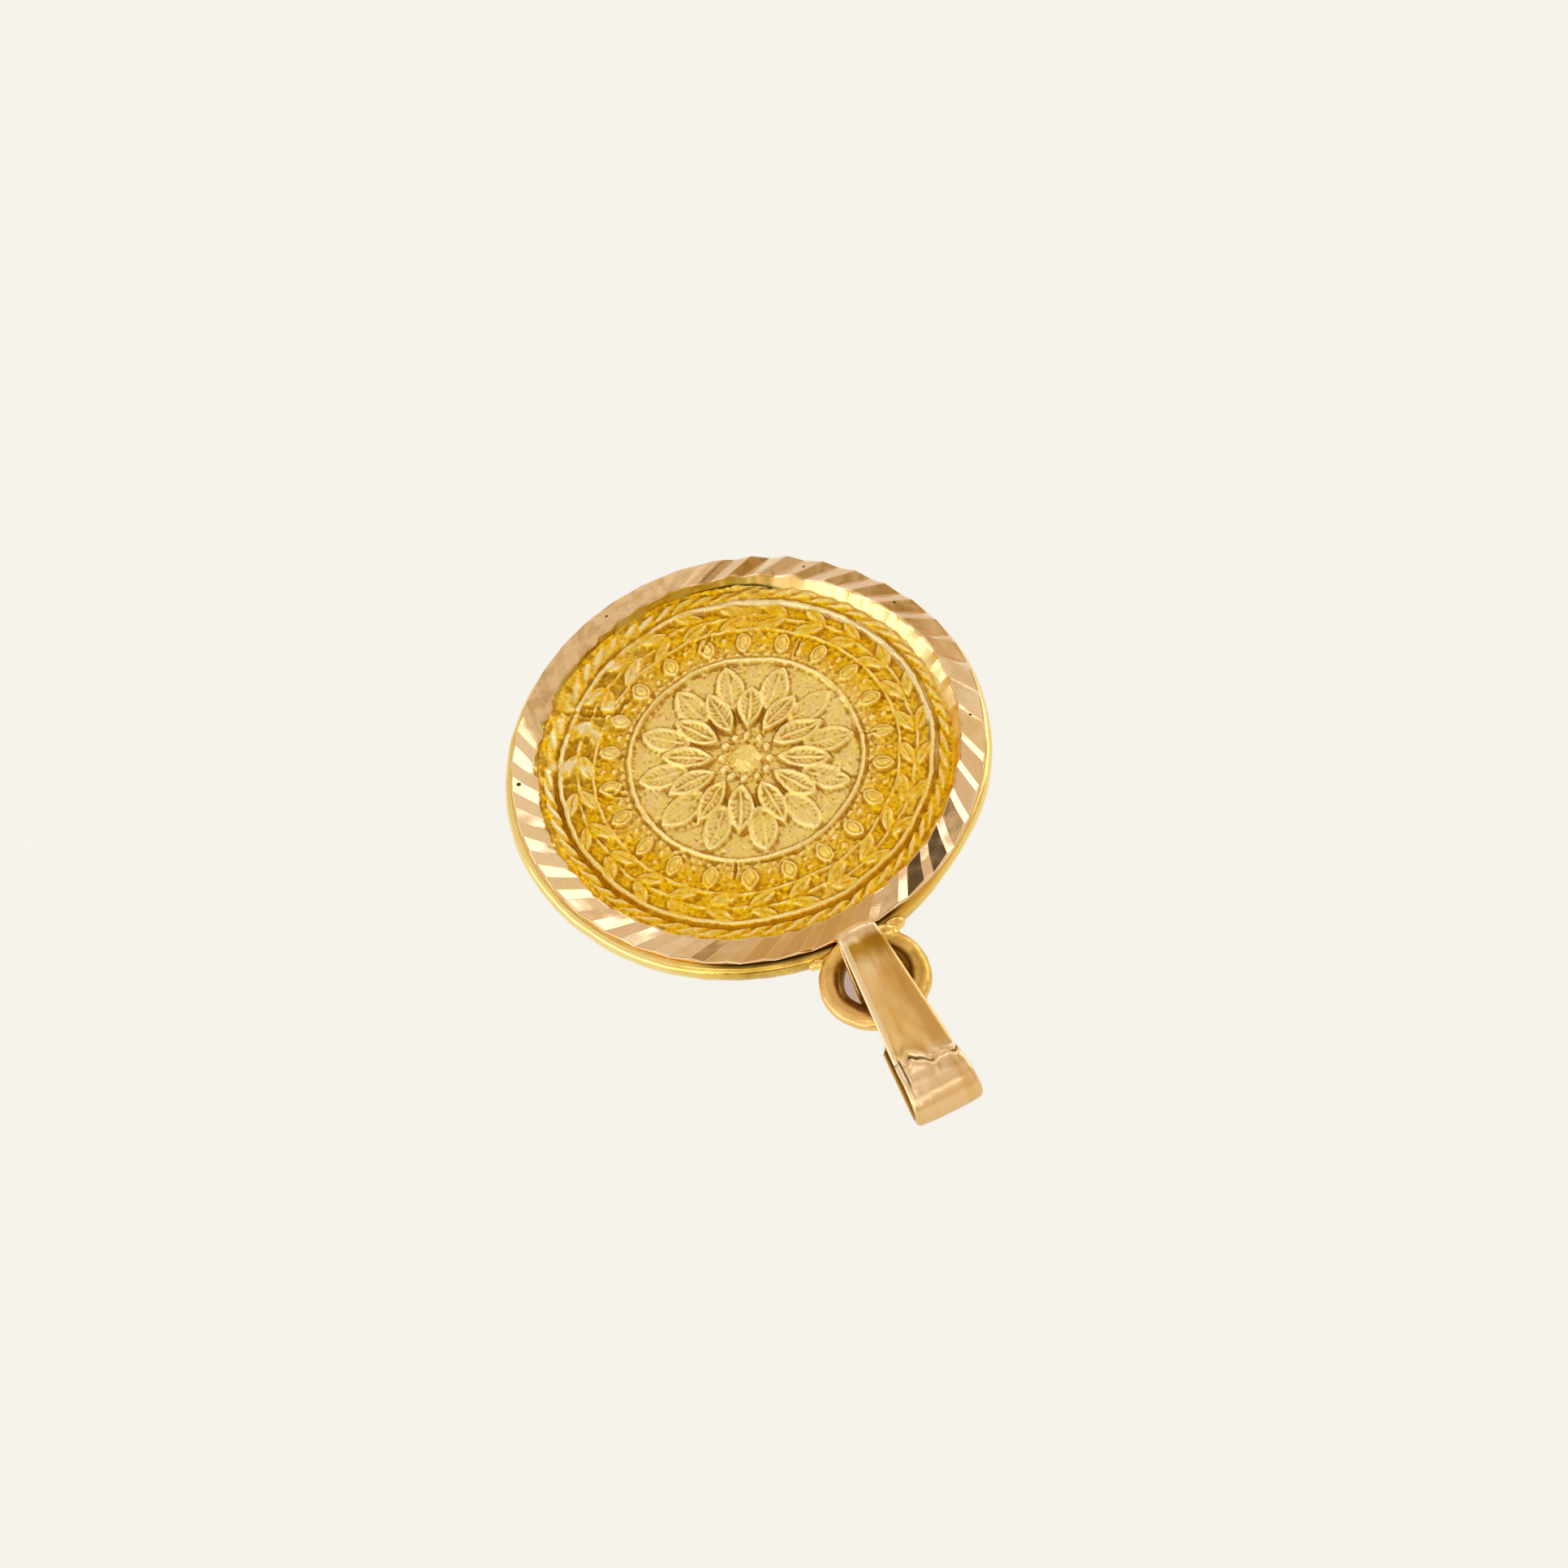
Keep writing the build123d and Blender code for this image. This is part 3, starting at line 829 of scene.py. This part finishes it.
def facetFinish():
    look = {
        "gold": (0.90, 0.68, 0.42),
        "deep": (0.84, 0.56, 0.24),
        "grey": (0.62, 0.50, 0.36),
        "worn": (0.86, 0.64, 0.36),
        "brown": (0.58, 0.38, 0.14),
        "pale": (1.0, 0.86, 0.66),
        "wall": (0.97, 0.71, 0.31),
        "olive": (0.52, 0.40, 0.05),
        "gapShadow": (0.10, 0.07, 0.01),
        "black": (0.02, 0.015, 0.01),
        "roughness": 0.055,
    }
    material, desk = newFinish("cut_ring_gold")
    names = ("facet", "tone", "worn", "wall", "gap", "shaded", "start")
    facet, tone, worn, wall, gap, shaded, start = (desk.mark(name) for name in names)
    patches, mottle = desk.cloud(0.9, 4.0, 0.6), desk.cloud(0.28, 4.0, 0.65)
    fine, x, y = desk.cloud(0.07, 3.0, 0.6), desk.part("X"), desk.part("Y")
    # painted light: at the top and the upper right the narrow flanks are painted pale as highlights and the
    # wide flanks brown as shade, in streaks along the cuts
    upper = y.between(0.5, 3.5) * x.between(-1.0, 0.5) * (1 - worn)
    shadeStreaks = 0.45 + 0.55 * desk.cloud((0.5, 0.9, 0.9), 3.0, 0.6).between(0.46, 0.60)
    pit = 0.0
    for degrees, far, radius in cuts["pits"]:
        turn = math.radians(degrees)
        offX, offY = x - far * math.cos(turn), y - far * math.sin(turn)
        pit = pit + (offX * offX + offY * offY).between((radius * 1.3) ** 2, (radius * 0.7) ** 2)
    colour = desk.layered(look, "gold", [
        (tone.between(-0.6, 1.0) * 0.45 + patches.between(0.48, 0.70) * 0.35, "deep"),
        (worn, "worn"),
        (mottle.between(0.50, 0.68) * (0.20 + 0.45 * worn), "grey"),
        (patches.between(0.48, 0.62) * worn * 0.55, "brown"),
        # painted highlight on the narrow flanks and painted shade on the wide flanks
        (upper * facet.between(-0.15, -0.7) * 0.9, "pale"),
        (upper * facet.between(0.15, 0.7) * shadeStreaks * 0.9, "brown"),
        (wall, "wall"),
        # olive on the upper-left wall: partly painted shade, partly the green stain there
        (shaded * 0.85, "olive"),
        # painted shadow: dark in the gap between the wall and the medal
        (gap.between(0.2, 0.7), "gapShadow"),
        (pit, "black"),
    ])
    roughness = look["roughness"] + 0.05 * patches + 0.04 * mottle + 0.22 * worn + 0.12 * wall + 0.30 * start
    closeFinish(desk, colour, roughness, [(fine, 0.0008), (mottle, 0.0016), (pit, -0.03)])
    return material


cutRing(facetFinish())


loop = {
    "centre": 11.74,
    "height": 1.0565,
    "barLine": 1.76,
    "barWide": 0.50,
    "barHigh": 0.36,
    "steps": 160,
    "barSteps": 48,
    "voxel": 0.034,
    "smoothing": 30,
    # solder: x, y, z, and its three half sizes
    "solder": [
        (1.15, -10.02, 1.02, 0.60, 0.38, 0.40),
        (1.78, -9.84, 0.98, 0.50, 0.28, 0.34),
        (1.45, -10.27, 1.05, 0.36, 0.34, 0.30),
        (-1.10, -10.05, 0.98, 0.55, 0.33, 0.32),
        (-1.70, -9.88, 0.92, 0.38, 0.22, 0.26),
        (0.0, -9.75, 0.98, 1.15, 0.36, 0.26),
    ],
}


def loopAndSolder(finish):
    angles = np.arange(loop["steps"]) * fullTurn / loop["steps"]
    rows = []
    for turn in np.arange(loop["barSteps"]) * fullTurn / loop["barSteps"]:
        radius = loop["barLine"] + loop["barWide"] * math.cos(turn)
        rows.append(turnedRow(radius, loop["height"] + loop["barHigh"] * math.sin(turn), angles))
    rows = np.array(rows)
    rows[..., 1] -= loop["centre"]
    parts = [wrapMesh("loop", rows)]
    for x, y, z, wide, deep, high in loop["solder"]:
        bpy.ops.mesh.primitive_uv_sphere_add(segments=32, ring_count=20, radius=1.0)
        drop = bpy.context.object
        drop.data.transform(Matrix.LocRotScale(Vector((x, y, z)) * mm, None, Vector((wide, deep, high)) * mm))
        parts.append(drop)
    bpy.ops.object.select_all(action="DESELECT")
    for part in parts:
        part.select_set(True)
    piece = parts[0]
    bpy.context.view_layer.objects.active = piece
    bpy.ops.object.join()
    remesh = piece.modifiers.new("skin", "REMESH")
    remesh.mode = "VOXEL"
    remesh.voxel_size = loop["voxel"] * mm
    smooth = piece.modifiers.new("melt", "SMOOTH")
    smooth.factor = 0.5
    smooth.iterations = loop["smoothing"]
    graph = bpy.context.evaluated_depsgraph_get()
    skin = bpy.data.meshes.new_from_object(piece.evaluated_get(graph))
    piece.modifiers.clear()
    piece.data = skin
    points, normals = np.zeros((2, len(skin.vertices), 3))
    skin.vertices.foreach_get("co", points.ravel())
    skin.vertices.foreach_get("normal", normals.ravel())
    points /= mm
    points += normals * (0.012 * ripple(points, 1.2, 61) + 0.003 * ripple(points, 0.5, 62) + 0.010)[:, None]
    skin.vertices.foreach_set("co", (points * mm).ravel())
    skin.shade_smooth()
    settle(piece, "medallion", "frame", finish)


def loopFinish():
    look = {
        "gold": (0.84, 0.57, 0.16),
        "pale": (0.92, 0.59, 0.22),
        "deep": (0.52, 0.31, 0.03),
        "brown": (0.20, 0.10, 0.01),
        "solder": (0.93, 0.67, 0.20),
        "roughness": 0.20,
    }
    material, desk = newFinish("loop_gold")
    patches, mottle = desk.cloud(1.1, 4.0, 0.6), desk.cloud(0.30, 4.0, 0.65)
    fine, x, y = desk.cloud(0.08, 3.0, 0.6), desk.part("X"), desk.part("Y")
    near = y.between(-10.60, -10.20)
    y = y + loop["centre"]
    left = 1 - (x + y * 0.3).between(-1.6, 0.6)
    colour = desk.layered(look, "gold", [
        (left, "pale"),
        (patches.between(0.44, 0.62) * (0.55 - 0.30 * left), "deep"),
        (mottle.between(0.54, 0.72) * (0.5 - 0.35 * left), "deep"),
        # painted shade on the inside of the loop, round its hole
        ((1 - (x * x + y * y).between(1.50**2, 1.72**2)) * 0.9, "brown"),
        (near * 0.85, "solder"),
    ])
    roughness = look["roughness"] + 0.10 * mottle + 0.06 * patches - 0.10 * near
    closeFinish(desk, colour, roughness, [(fine, 0.0008), (mottle, 0.006)])
    return material


loopAndSolder(loopFinish())


bail = {
    "thickness": 0.32,
    "foldEnd": 10.02,
    "length": 8.50,
    "foldRadius": 0.72,
    "foldCentre": (10.74, 2.6265),
    "wideRadius": 1.25,
    "wideCentre": (17.27, 1.25),
    "creaseAngle": 130.0,
    "creaseRise": 0.03,
    "riseFoot": 12.40,
    "riseRadius": 1.00,
    "narrow": 1.55,
    "wide": 2.90,
    "legHalf": 0.73,
    "trimReach": 1.10,
    "pivot": 13.3835,
    "foldCorner": 0.25,
    "stations": 420,
    "pathSteps": 4000,
    "pathSoftness": 0.045,
    "inside": (14.0, 1.6),
    "outerCorner": (0.26, 0.14),
    "innerCorner": 0.07,
    "crown": 0.050,
    "valley": 0.110,
    "creaseWidth": 0.085,
    "creaseAbove": 1.7,
    "creaseReach": 1.4,
    # the dent beside it: distance from the left edge and width, lowest height, and where it fades in and out
    "dentBeside": (0.24, 0.055),
    "dentAbove": 1.4,
    "dentAlong": (15.95, 16.25, 17.2, 17.9),
    # waves of the crease across the strap: size, rate, start
    "wander": [(0.26, 1.9, 0.4), (0.13, 6.1, 1.0), (0.06, 13.0, 0.0)],
}


def arcPoints(centre, radius, start, end, steps):
    turns = np.radians(np.linspace(start, end, steps))
    return [(centre[0] + radius * math.cos(t), centre[1] + radius * math.sin(t)) for t in turns]


def tangentAngle(centre, radius, point, side):
    across, up = point[0] - centre[0], point[1] - centre[1]
    return math.degrees(math.atan2(up, across) + side * math.acos(radius / math.hypot(across, up)))


def bailPath():
    # the middle line of the strap from the side: distance from the medal's axis and height, anticlockwise
    inset, turn = bail["thickness"] / 2, bail["creaseAngle"]
    fold, wide, bend = (bail[k] - inset for k in ("foldRadius", "wideRadius", "riseRadius"))
    foldCentre, wideCentre, riseFoot = (bail[k] for k in ("foldCentre", "wideCentre", "riseFoot"))
    crease = arcPoints(wideCentre, bail["wideRadius"] + bail["creaseRise"] - inset / 2, turn, turn, 1)[0]
    rise = math.atan2(foldCentre[1], foldCentre[0] - riseFoot)
    corner = (riseFoot + inset * math.tan((math.pi - rise) / 2), inset)
    foldTop = tangentAngle(foldCentre, fold, crease, 1)
    foldUnder = tangentAngle(foldCentre, fold, corner, -1) % 360
    wideTop = tangentAngle(wideCentre, wide, crease, -1)
    path = arcPoints(foldCentre, fold, foldUnder, foldTop, 60) + [crease]
    path += arcPoints(wideCentre, wide, wideTop, -90, 120)
    # the bend at the foot of the rising leg
    away = math.atan2(path[0][1] - corner[1], path[0][0] - corner[0])
    middle = (corner[0] + bend / math.tan(away / 2), corner[1] + bend)
    path += arcPoints(middle, bend, -90, math.degrees(away) - 270, 20)
    return np.array(path), crease


def evenPath(path):
    # evenly spaced points on the softened path, and the way out of it at each
    stations, fineSteps = bail["stations"], bail["pathSteps"]
    closed = np.vstack([path, path[:1]])
    marks = np.concatenate([[0], np.cumsum(np.hypot(*np.diff(closed, axis=0).T))])
    fine = np.linspace(0, marks[-1], fineSteps, endpoint=False)
    points = np.stack([np.interp(fine, marks, closed[:, i]) for i in (0, 1)], -1)
    waves = np.fft.fftfreq(fineSteps, marks[-1] / fineSteps)
    keep = np.exp(-2 * (math.pi * bail["pathSoftness"] * waves) ** 2)[:, None]
    points = np.fft.ifft(np.fft.fft(points, axis=0) * keep, axis=0).real
    along = np.roll(points, -1, 0) - np.roll(points, 1, 0)
    along /= np.linalg.norm(along, axis=1)[:, None]
    outward = np.stack([-along[:, 1], along[:, 0]], -1)
    if ((points - bail["inside"]) * outward).sum() < 0:
        outward = -outward
    pick = np.round(np.arange(stations) * fineSteps / stations).astype(int) % fineSteps
    return points[pick], outward[pick]


def strapHalf(distance):
    corner, far = bail["foldCorner"], distance - bail["foldEnd"]
    half = (bail["narrow"] + (bail["wide"] - bail["narrow"]) * (far / bail["length"])) / 2
    near = np.clip(corner - far, 0, corner)
    return half - (corner - np.sqrt(corner**2 - near**2))


def legHalf(distance):
    # the lower leg is narrower where it passes through the loop
    full = strapHalf(distance)
    off = (distance - bail["pivot"]) / bail["trimReach"]
    edge = np.where(np.abs(off) < 1, 1 - off**2, 0)
    return full - np.maximum(full - bail["legHalf"], 0) * edge**0.8


def strapSection(half):
    # one closed section from the outer face's left end: across, outward, and how much it faces out
    deep, small = bail["thickness"] / 2, bail["innerCorner"]
    wide, high = bail["outerCorner"]
    shoulder = deep - bail["crown"] - high
    outerTurns, innerTurns = np.radians(np.linspace(90, 0, 9)[1:]), np.radians(np.linspace(0, -90, 6))
    outerFace = [(t * (half - wide), deep - bail["crown"] * abs(t) ** 3, 1.0) for t in np.linspace(-1, 1, 41)]
    innerFace = [(t * (half - small), -deep, 0.0) for t in np.linspace(1, -1, 22)[1:-1]]
    right = [(half - wide + wide * math.cos(t), shoulder + high * math.sin(t), 0.6) for t in outerTurns]
    foot = small - deep
    right += [(half - small + small * math.cos(t), foot + small * math.sin(t), 0.2) for t in innerTurns]
    left = [(-across, out, face) for across, out, face in right[::-1]]
    return np.array(outerFace + right + innerFace + left).T


def creaseShape(across, face, half, distance, height, crease):
    # the crease above the wide end: the depth of its valley, from 0 to 1, and its lips
    wander = sum(size * np.sin(across * rate + start) for size, rate, start in bail["wander"])
    signed = distance - crease[0] - wander
    near = height > bail["creaseAbove"] and math.dist((distance, height), crease) < bail["creaseReach"]
    pinch = 0.60 + 0.40 * np.sin(across * 4.4 + 2.2) + 0.5 * hump(across, -0.55, 0.22)
    valley = near * pinch * hump(signed, 0, bail["creaseWidth"]) * (face > 0.4)
    lips = near * (0.040 * hump(signed, 0.30, 0.18) + 0.022 * hump(signed, -0.32, 0.20))
    # a second dent runs along the left edge of the wide end
    start, full, fading, end = bail["dentAlong"]
    beside = 0.9 * hump(across + half, *bail["dentBeside"]) * (height > bail["dentAbove"])
    beside = beside * ease(start, full, distance) * (1 - ease(fading, end, distance))
    return np.maximum(valley, beside), lips


def bailStrap(finish):
    path, crease = bailPath()
    points, outward = evenPath(path)
    line = np.array([bail["foldCentre"], bail["wideCentre"]])
    side = np.cross(line[1] - line[0], points - line[0])
    rows, outer, valleys = [], [], []
    for (distance, height), out, under in zip(points, outward, side < 0):
        half = float(legHalf(distance) if under else strapHalf(distance))
        across, offset, face = strapSection(half)
        valley, lips = creaseShape(across, face, half, distance, height, crease)
        offset = offset + (lips - bail["valley"] * valley) * np.where(face > 0.4, 1, -0.2)
        rows.append(np.stack([across, -(distance + out[0] * offset), height + out[1] * offset], -1))
        outer.append(face)
        valleys.append(valley)
    rows, outer = np.array(rows), np.ravel(outer)
    flat = rows.reshape(-1, 3)
    normal = np.stack([np.zeros(len(outward)), -outward[:, 0], outward[:, 1]], -1)
    dents = 0.008 * ripple(flat, 2.2, 71) + 0.003 * ripple(flat * [2.2, 1, 1], 1.0, 72)
    flat += np.repeat(normal, rows.shape[1], 0) * ((dents - 0.010) * outer)[:, None]
    flat[:, 2] = np.maximum(flat[:, 2], 0.0)
    marks = {"outer": outer, "crease": np.clip(valleys, 0, 1)}
    piece = wrapMesh("bail_strap", rows, None, marks)
    settle(piece, "bail", "bail", finish)


def bailFinish():
    look = {
        "gold": (0.87, 0.60, 0.24),
        "pink": (0.94, 0.73, 0.46),
        "warm": (0.78, 0.44, 0.10),
        "brown": (0.50, 0.27, 0.015),
        "creaseShade": (0.10, 0.055, 0.01),
        "edge": (0.98, 0.80, 0.54),
        "roughness": 0.17,
    }
    material, desk = newFinish("bail_gold")
    patches, mottle = desk.cloud(1.8, 4.0, 0.6), desk.cloud(0.35, 4.0, 0.65)
    fine, bands = desk.cloud(0.07, 3.0, 0.6), desk.cloud((0.45, 3.5, 3.5), 3.0, 0.55)
    across, along, height = desk.part("X"), desk.part("Y") * -1.0, desk.part("Z")
    outer, crease = desk.mark("outer"), desk.mark("crease")
    # painted highlight: a pinkish cap at the fold; painted shade: a brown stretch just after it; and a warm
    # stretch after that
    ragged = along + patches * 0.9 + mottle * 0.3
    cap = 1 - ragged.between(11.55, 11.80)
    shadeAfterFold = ragged.between(11.60, 11.90) * (1 - ragged.between(12.10, 13.00)) * height.between(1.5, 2.5)
    upper = along.between(12.3, 12.8) * (1 - along.between(13.2, 15.4))
    # the wide end is pale, with warm bands and a warmer tip
    pale = along.between(15.9, 16.5) * outer
    # painted highlight along the rounded left edge
    edge = outer.between(0.45, 0.65) * (1 - outer.between(0.75, 0.98)) * across.between(0.2, -0.3)
    colour = desk.layered(look, "gold", [
        (patches.between(0.42, 0.64) * 0.5, "pink"),
        (bands.between(0.52, 0.68) * 0.5, "warm"),
        # painted highlight on the fold's cap, then painted shade after it
        (cap, "pink"),
        (shadeAfterFold * 0.95, "brown"),
        (upper * 0.35, "warm"),
        (pale * (1 - bands.between(0.50, 0.66) * 0.6), "pink"),
        (along.between(17.9, 18.4) * 0.5, "warm"),
        # painted shade: brown low down and on the inner face of the strap
        ((1 - height.between(0.4, 1.9)) * 0.55, "brown"),
        ((1 - outer.between(0.05, 0.4)) * 0.75, "brown"),
        # painted highlight on the left edge, fading before the tip
        (edge * along.between(17.9, 17.1) * 0.8, "edge"),
        # painted shade in the crease and in the dent beside it
        (crease.between(0.25, 0.75) * 0.85, "creaseShade"),
    ])
    roughness = look["roughness"] + 0.08 * mottle + 0.10 * bands
    scratches = desk.cloud((0.04, 2.5, 2.5), 2.0, 0.5, 0.3)
    closeFinish(desk, colour, roughness, [(fine, 0.0012), (mottle, 0.004), (scratches, 0.002)])
    return material


bailStrap(bailFinish())


studio = {
    "floorColour": (0.913, 0.888, 0.831),
    "floorShade": (0.52, 0.37, 0.30),
    "floorGlow": 0.985,
    "floorGap": 0.00002,
    "shadeShift": 0.45,
    "shadeReach": (1.65, 1.20),
    "surround": (0.76, 0.61, 0.47),
    # soft boxes: bearing from +Y towards +X, elevation, half width and half height in degrees, colour
    "boxes": {
        "backBox": (18.5, 34, 11.5, 5, (1.10, 1.18, 1.36)),
        "leftStrip": (-98, 12, 38, 10, (1.15, 1.22, 1.40)),
        "lowStrip": (-153, 28, 20, 10, (1.08, 1.12, 1.16)),
        "frontBox": (-134, 60, 11, 4.5, (1.10, 1.18, 1.36)),
        "nearBox": (168, 40, 8, 4, (1.05, 1.10, 1.20)),
        "highRight": (96, 36, 7, 6, (1.10, 1.18, 1.36)),
        "rightBox": (70, 16, 24, 12, (1.10, 1.18, 1.36)),
    },
    # tints of the room: bearing, elevation, half width, half height, softness in degrees, share, colour
    "tints": {
        "leftWall": (-100, 38, 60, 38, 18, 1.0, (0.88, 0.80, 0.68)),
        "overhead": (-30, 86, 10, 8, 5, 1.0, (0.98, 0.92, 0.80)),
        "rightHigh": (54, 67, 9, 10, 5, 0.9, (0.52, 0.34, 0.13)),
        "rightFlag": (48, 54, 4, 4, 2, 0.8, (0.20, 0.13, 0.06)),
        "rightFront": (130, 46, 30, 10, 8, 1.0, (0.64, 0.45, 0.19)),
        "backFlag": (-17, 48, 7, 7, 3, 0.9, (0.60, 0.41, 0.18)),
        "leftFlag": (-26, 63.5, 4.4, 4.2, 1.3, 0.97, (0.06, 0.04, 0.02)),
        "frontFlag": (174, 56, 5, 4, 2, 0.7, (0.30, 0.18, 0.05)),
        "lowFlag": (209, 18, 13, 16, 4, 0.85, (0.22, 0.14, 0.05)),
    },
    "boxDistance": 0.6,
}


def bearing(azimuth, elevation):
    a, e = math.radians(azimuth), math.radians(elevation)
    return Vector((math.sin(a) * math.cos(e), math.cos(a) * math.cos(e), math.sin(e)))


def studioWorld():
    world = bpy.data.worlds.new("studio")
    world.use_nodes = True
    bpy.context.scene.world = world
    desk = Desk(world.node_tree)
    direction = desk.node("ShaderNodeTexCoord", output=0)
    colour = studio["surround"]
    for azimuth, elevation, halfWide, halfHigh, soft, share, tint in studio["tints"].values():
        aim = bearing(azimuth, elevation)
        side = Vector((0, 0, 1)).cross(aim).normalized()
        mask = share
        for axis, half in ((side, halfWide), (aim.cross(side), halfHigh)):
            off = desk.node("ShaderNodeVectorMath", {"operation": "DOT_PRODUCT"}, {0: direction, 1: axis}, 1)
            low, high = (math.sin(math.radians(min(89, max(0, half + s)))) for s in (soft, -soft))
            mask = mask * abs(off).between(low, high)
        facing = desk.node("ShaderNodeVectorMath", {"operation": "DOT_PRODUCT"}, {0: direction, 1: aim}, 1)
        colour = desk.blend(mask * facing.between(0.0, 0.15), colour, tint)
    background = desk.node("ShaderNodeBackground", {}, {"Color": colour, "Strength": 1.0})
    desk.node("ShaderNodeOutputWorld", {}, {"Surface": background})


def softBox(name, azimuth, elevation, halfWide, halfHigh, colour):
    far = studio["boxDistance"]
    light = bpy.data.lights.new(name, "AREA")
    light.shape = "RECTANGLE"
    light.size = 2 * far * math.tan(math.radians(halfWide))
    light.size_y = 2 * far * math.tan(math.radians(halfHigh))
    bright = max(colour)
    light.color = [c / bright for c in colour]
    light.energy = bright * math.pi * light.size * light.size_y
    box = bpy.data.objects.new(name, light)
    aim = bearing(azimuth, elevation)
    box.location = aim * far
    box.rotation_mode = "QUATERNION"
    box.rotation_quaternion = aim.to_track_quat("Z", "Y")
    bpy.context.scene.collection.objects.link(box)


def paleFloor():
    bpy.ops.mesh.primitive_plane_add(size=3.0)
    floor = bpy.context.object
    floor.name = "floor"
    floor.location.z = -studio["floorGap"]
    material, desk = newFinish("pale_floor")
    # the loop and the strap keep light from the floor inside the loop
    x, y = desk.part("X"), desk.part("Y") + loop["centre"] - studio["shadeShift"]
    outer, full = studio["shadeReach"]
    shade = (x * x + y * y).between(outer**2, full**2)
    sockets = {"Base Color": (0.03, 0.03, 0.03, 1), "Roughness": 1.0, "Specular IOR Level": 0.0}
    sockets["Emission Color"] = desk.blend(shade, studio["floorColour"], studio["floorShade"])
    shader = desk.node("ShaderNodeBsdfPrincipled", {}, {**sockets, "Emission Strength": studio["floorGlow"]})
    desk.node("ShaderNodeOutputMaterial", {}, {"Surface": shader})
    floor.data.materials.append(material)


view = {
    "azimuth": -14.2,
    "elevation": 57.97,
    "roll": 13.87,
    "distance": 0.250,
    "lens": 142.13,
    "pixelsPerMm": 30.51,
    "seenPoint": (0.0, 0.0, 1.6),
    "seenPixel": (918.1, 928.0),
    "imageSide": 1932,
}


def pendantCamera():
    a, e, roll = (math.radians(view[k]) for k in ("azimuth", "elevation", "roll"))
    back = Vector((math.sin(a) * math.cos(e), -math.cos(a) * math.cos(e), math.sin(e)))
    level = Vector((math.cos(a), math.sin(a), 0))
    upright = back.cross(level)
    right = math.cos(roll) * level - math.sin(roll) * upright
    up = math.sin(roll) * level + math.cos(roll) * upright
    half = view["imageSide"] / 2
    offX = (view["seenPixel"][0] - half) / view["pixelsPerMm"]
    offY = -(view["seenPixel"][1] - half) / view["pixelsPerMm"]
    target = (Vector(view["seenPoint"]) - right * offX - up * offY) * mm
    data = bpy.data.cameras.new("camera")
    data.lens = view["lens"]
    data.sensor_width = 36.0
    data.clip_start, data.clip_end = 0.01, 10.0
    camera = bpy.data.objects.new("camera", data)
    turn = Matrix((right, up, back)).transposed().to_4x4()
    camera.matrix_world = Matrix.Translation(target + back * view["distance"]) @ turn
    bpy.context.scene.collection.objects.link(camera)
    bpy.context.scene.camera = camera


studioWorld()
for boxName, boxSpec in studio["boxes"].items():
    softBox(boxName, *boxSpec)
paleFloor()
pendantCamera()
bpy.context.scene.view_settings.view_transform = "Standard"
print("studio and camera set")
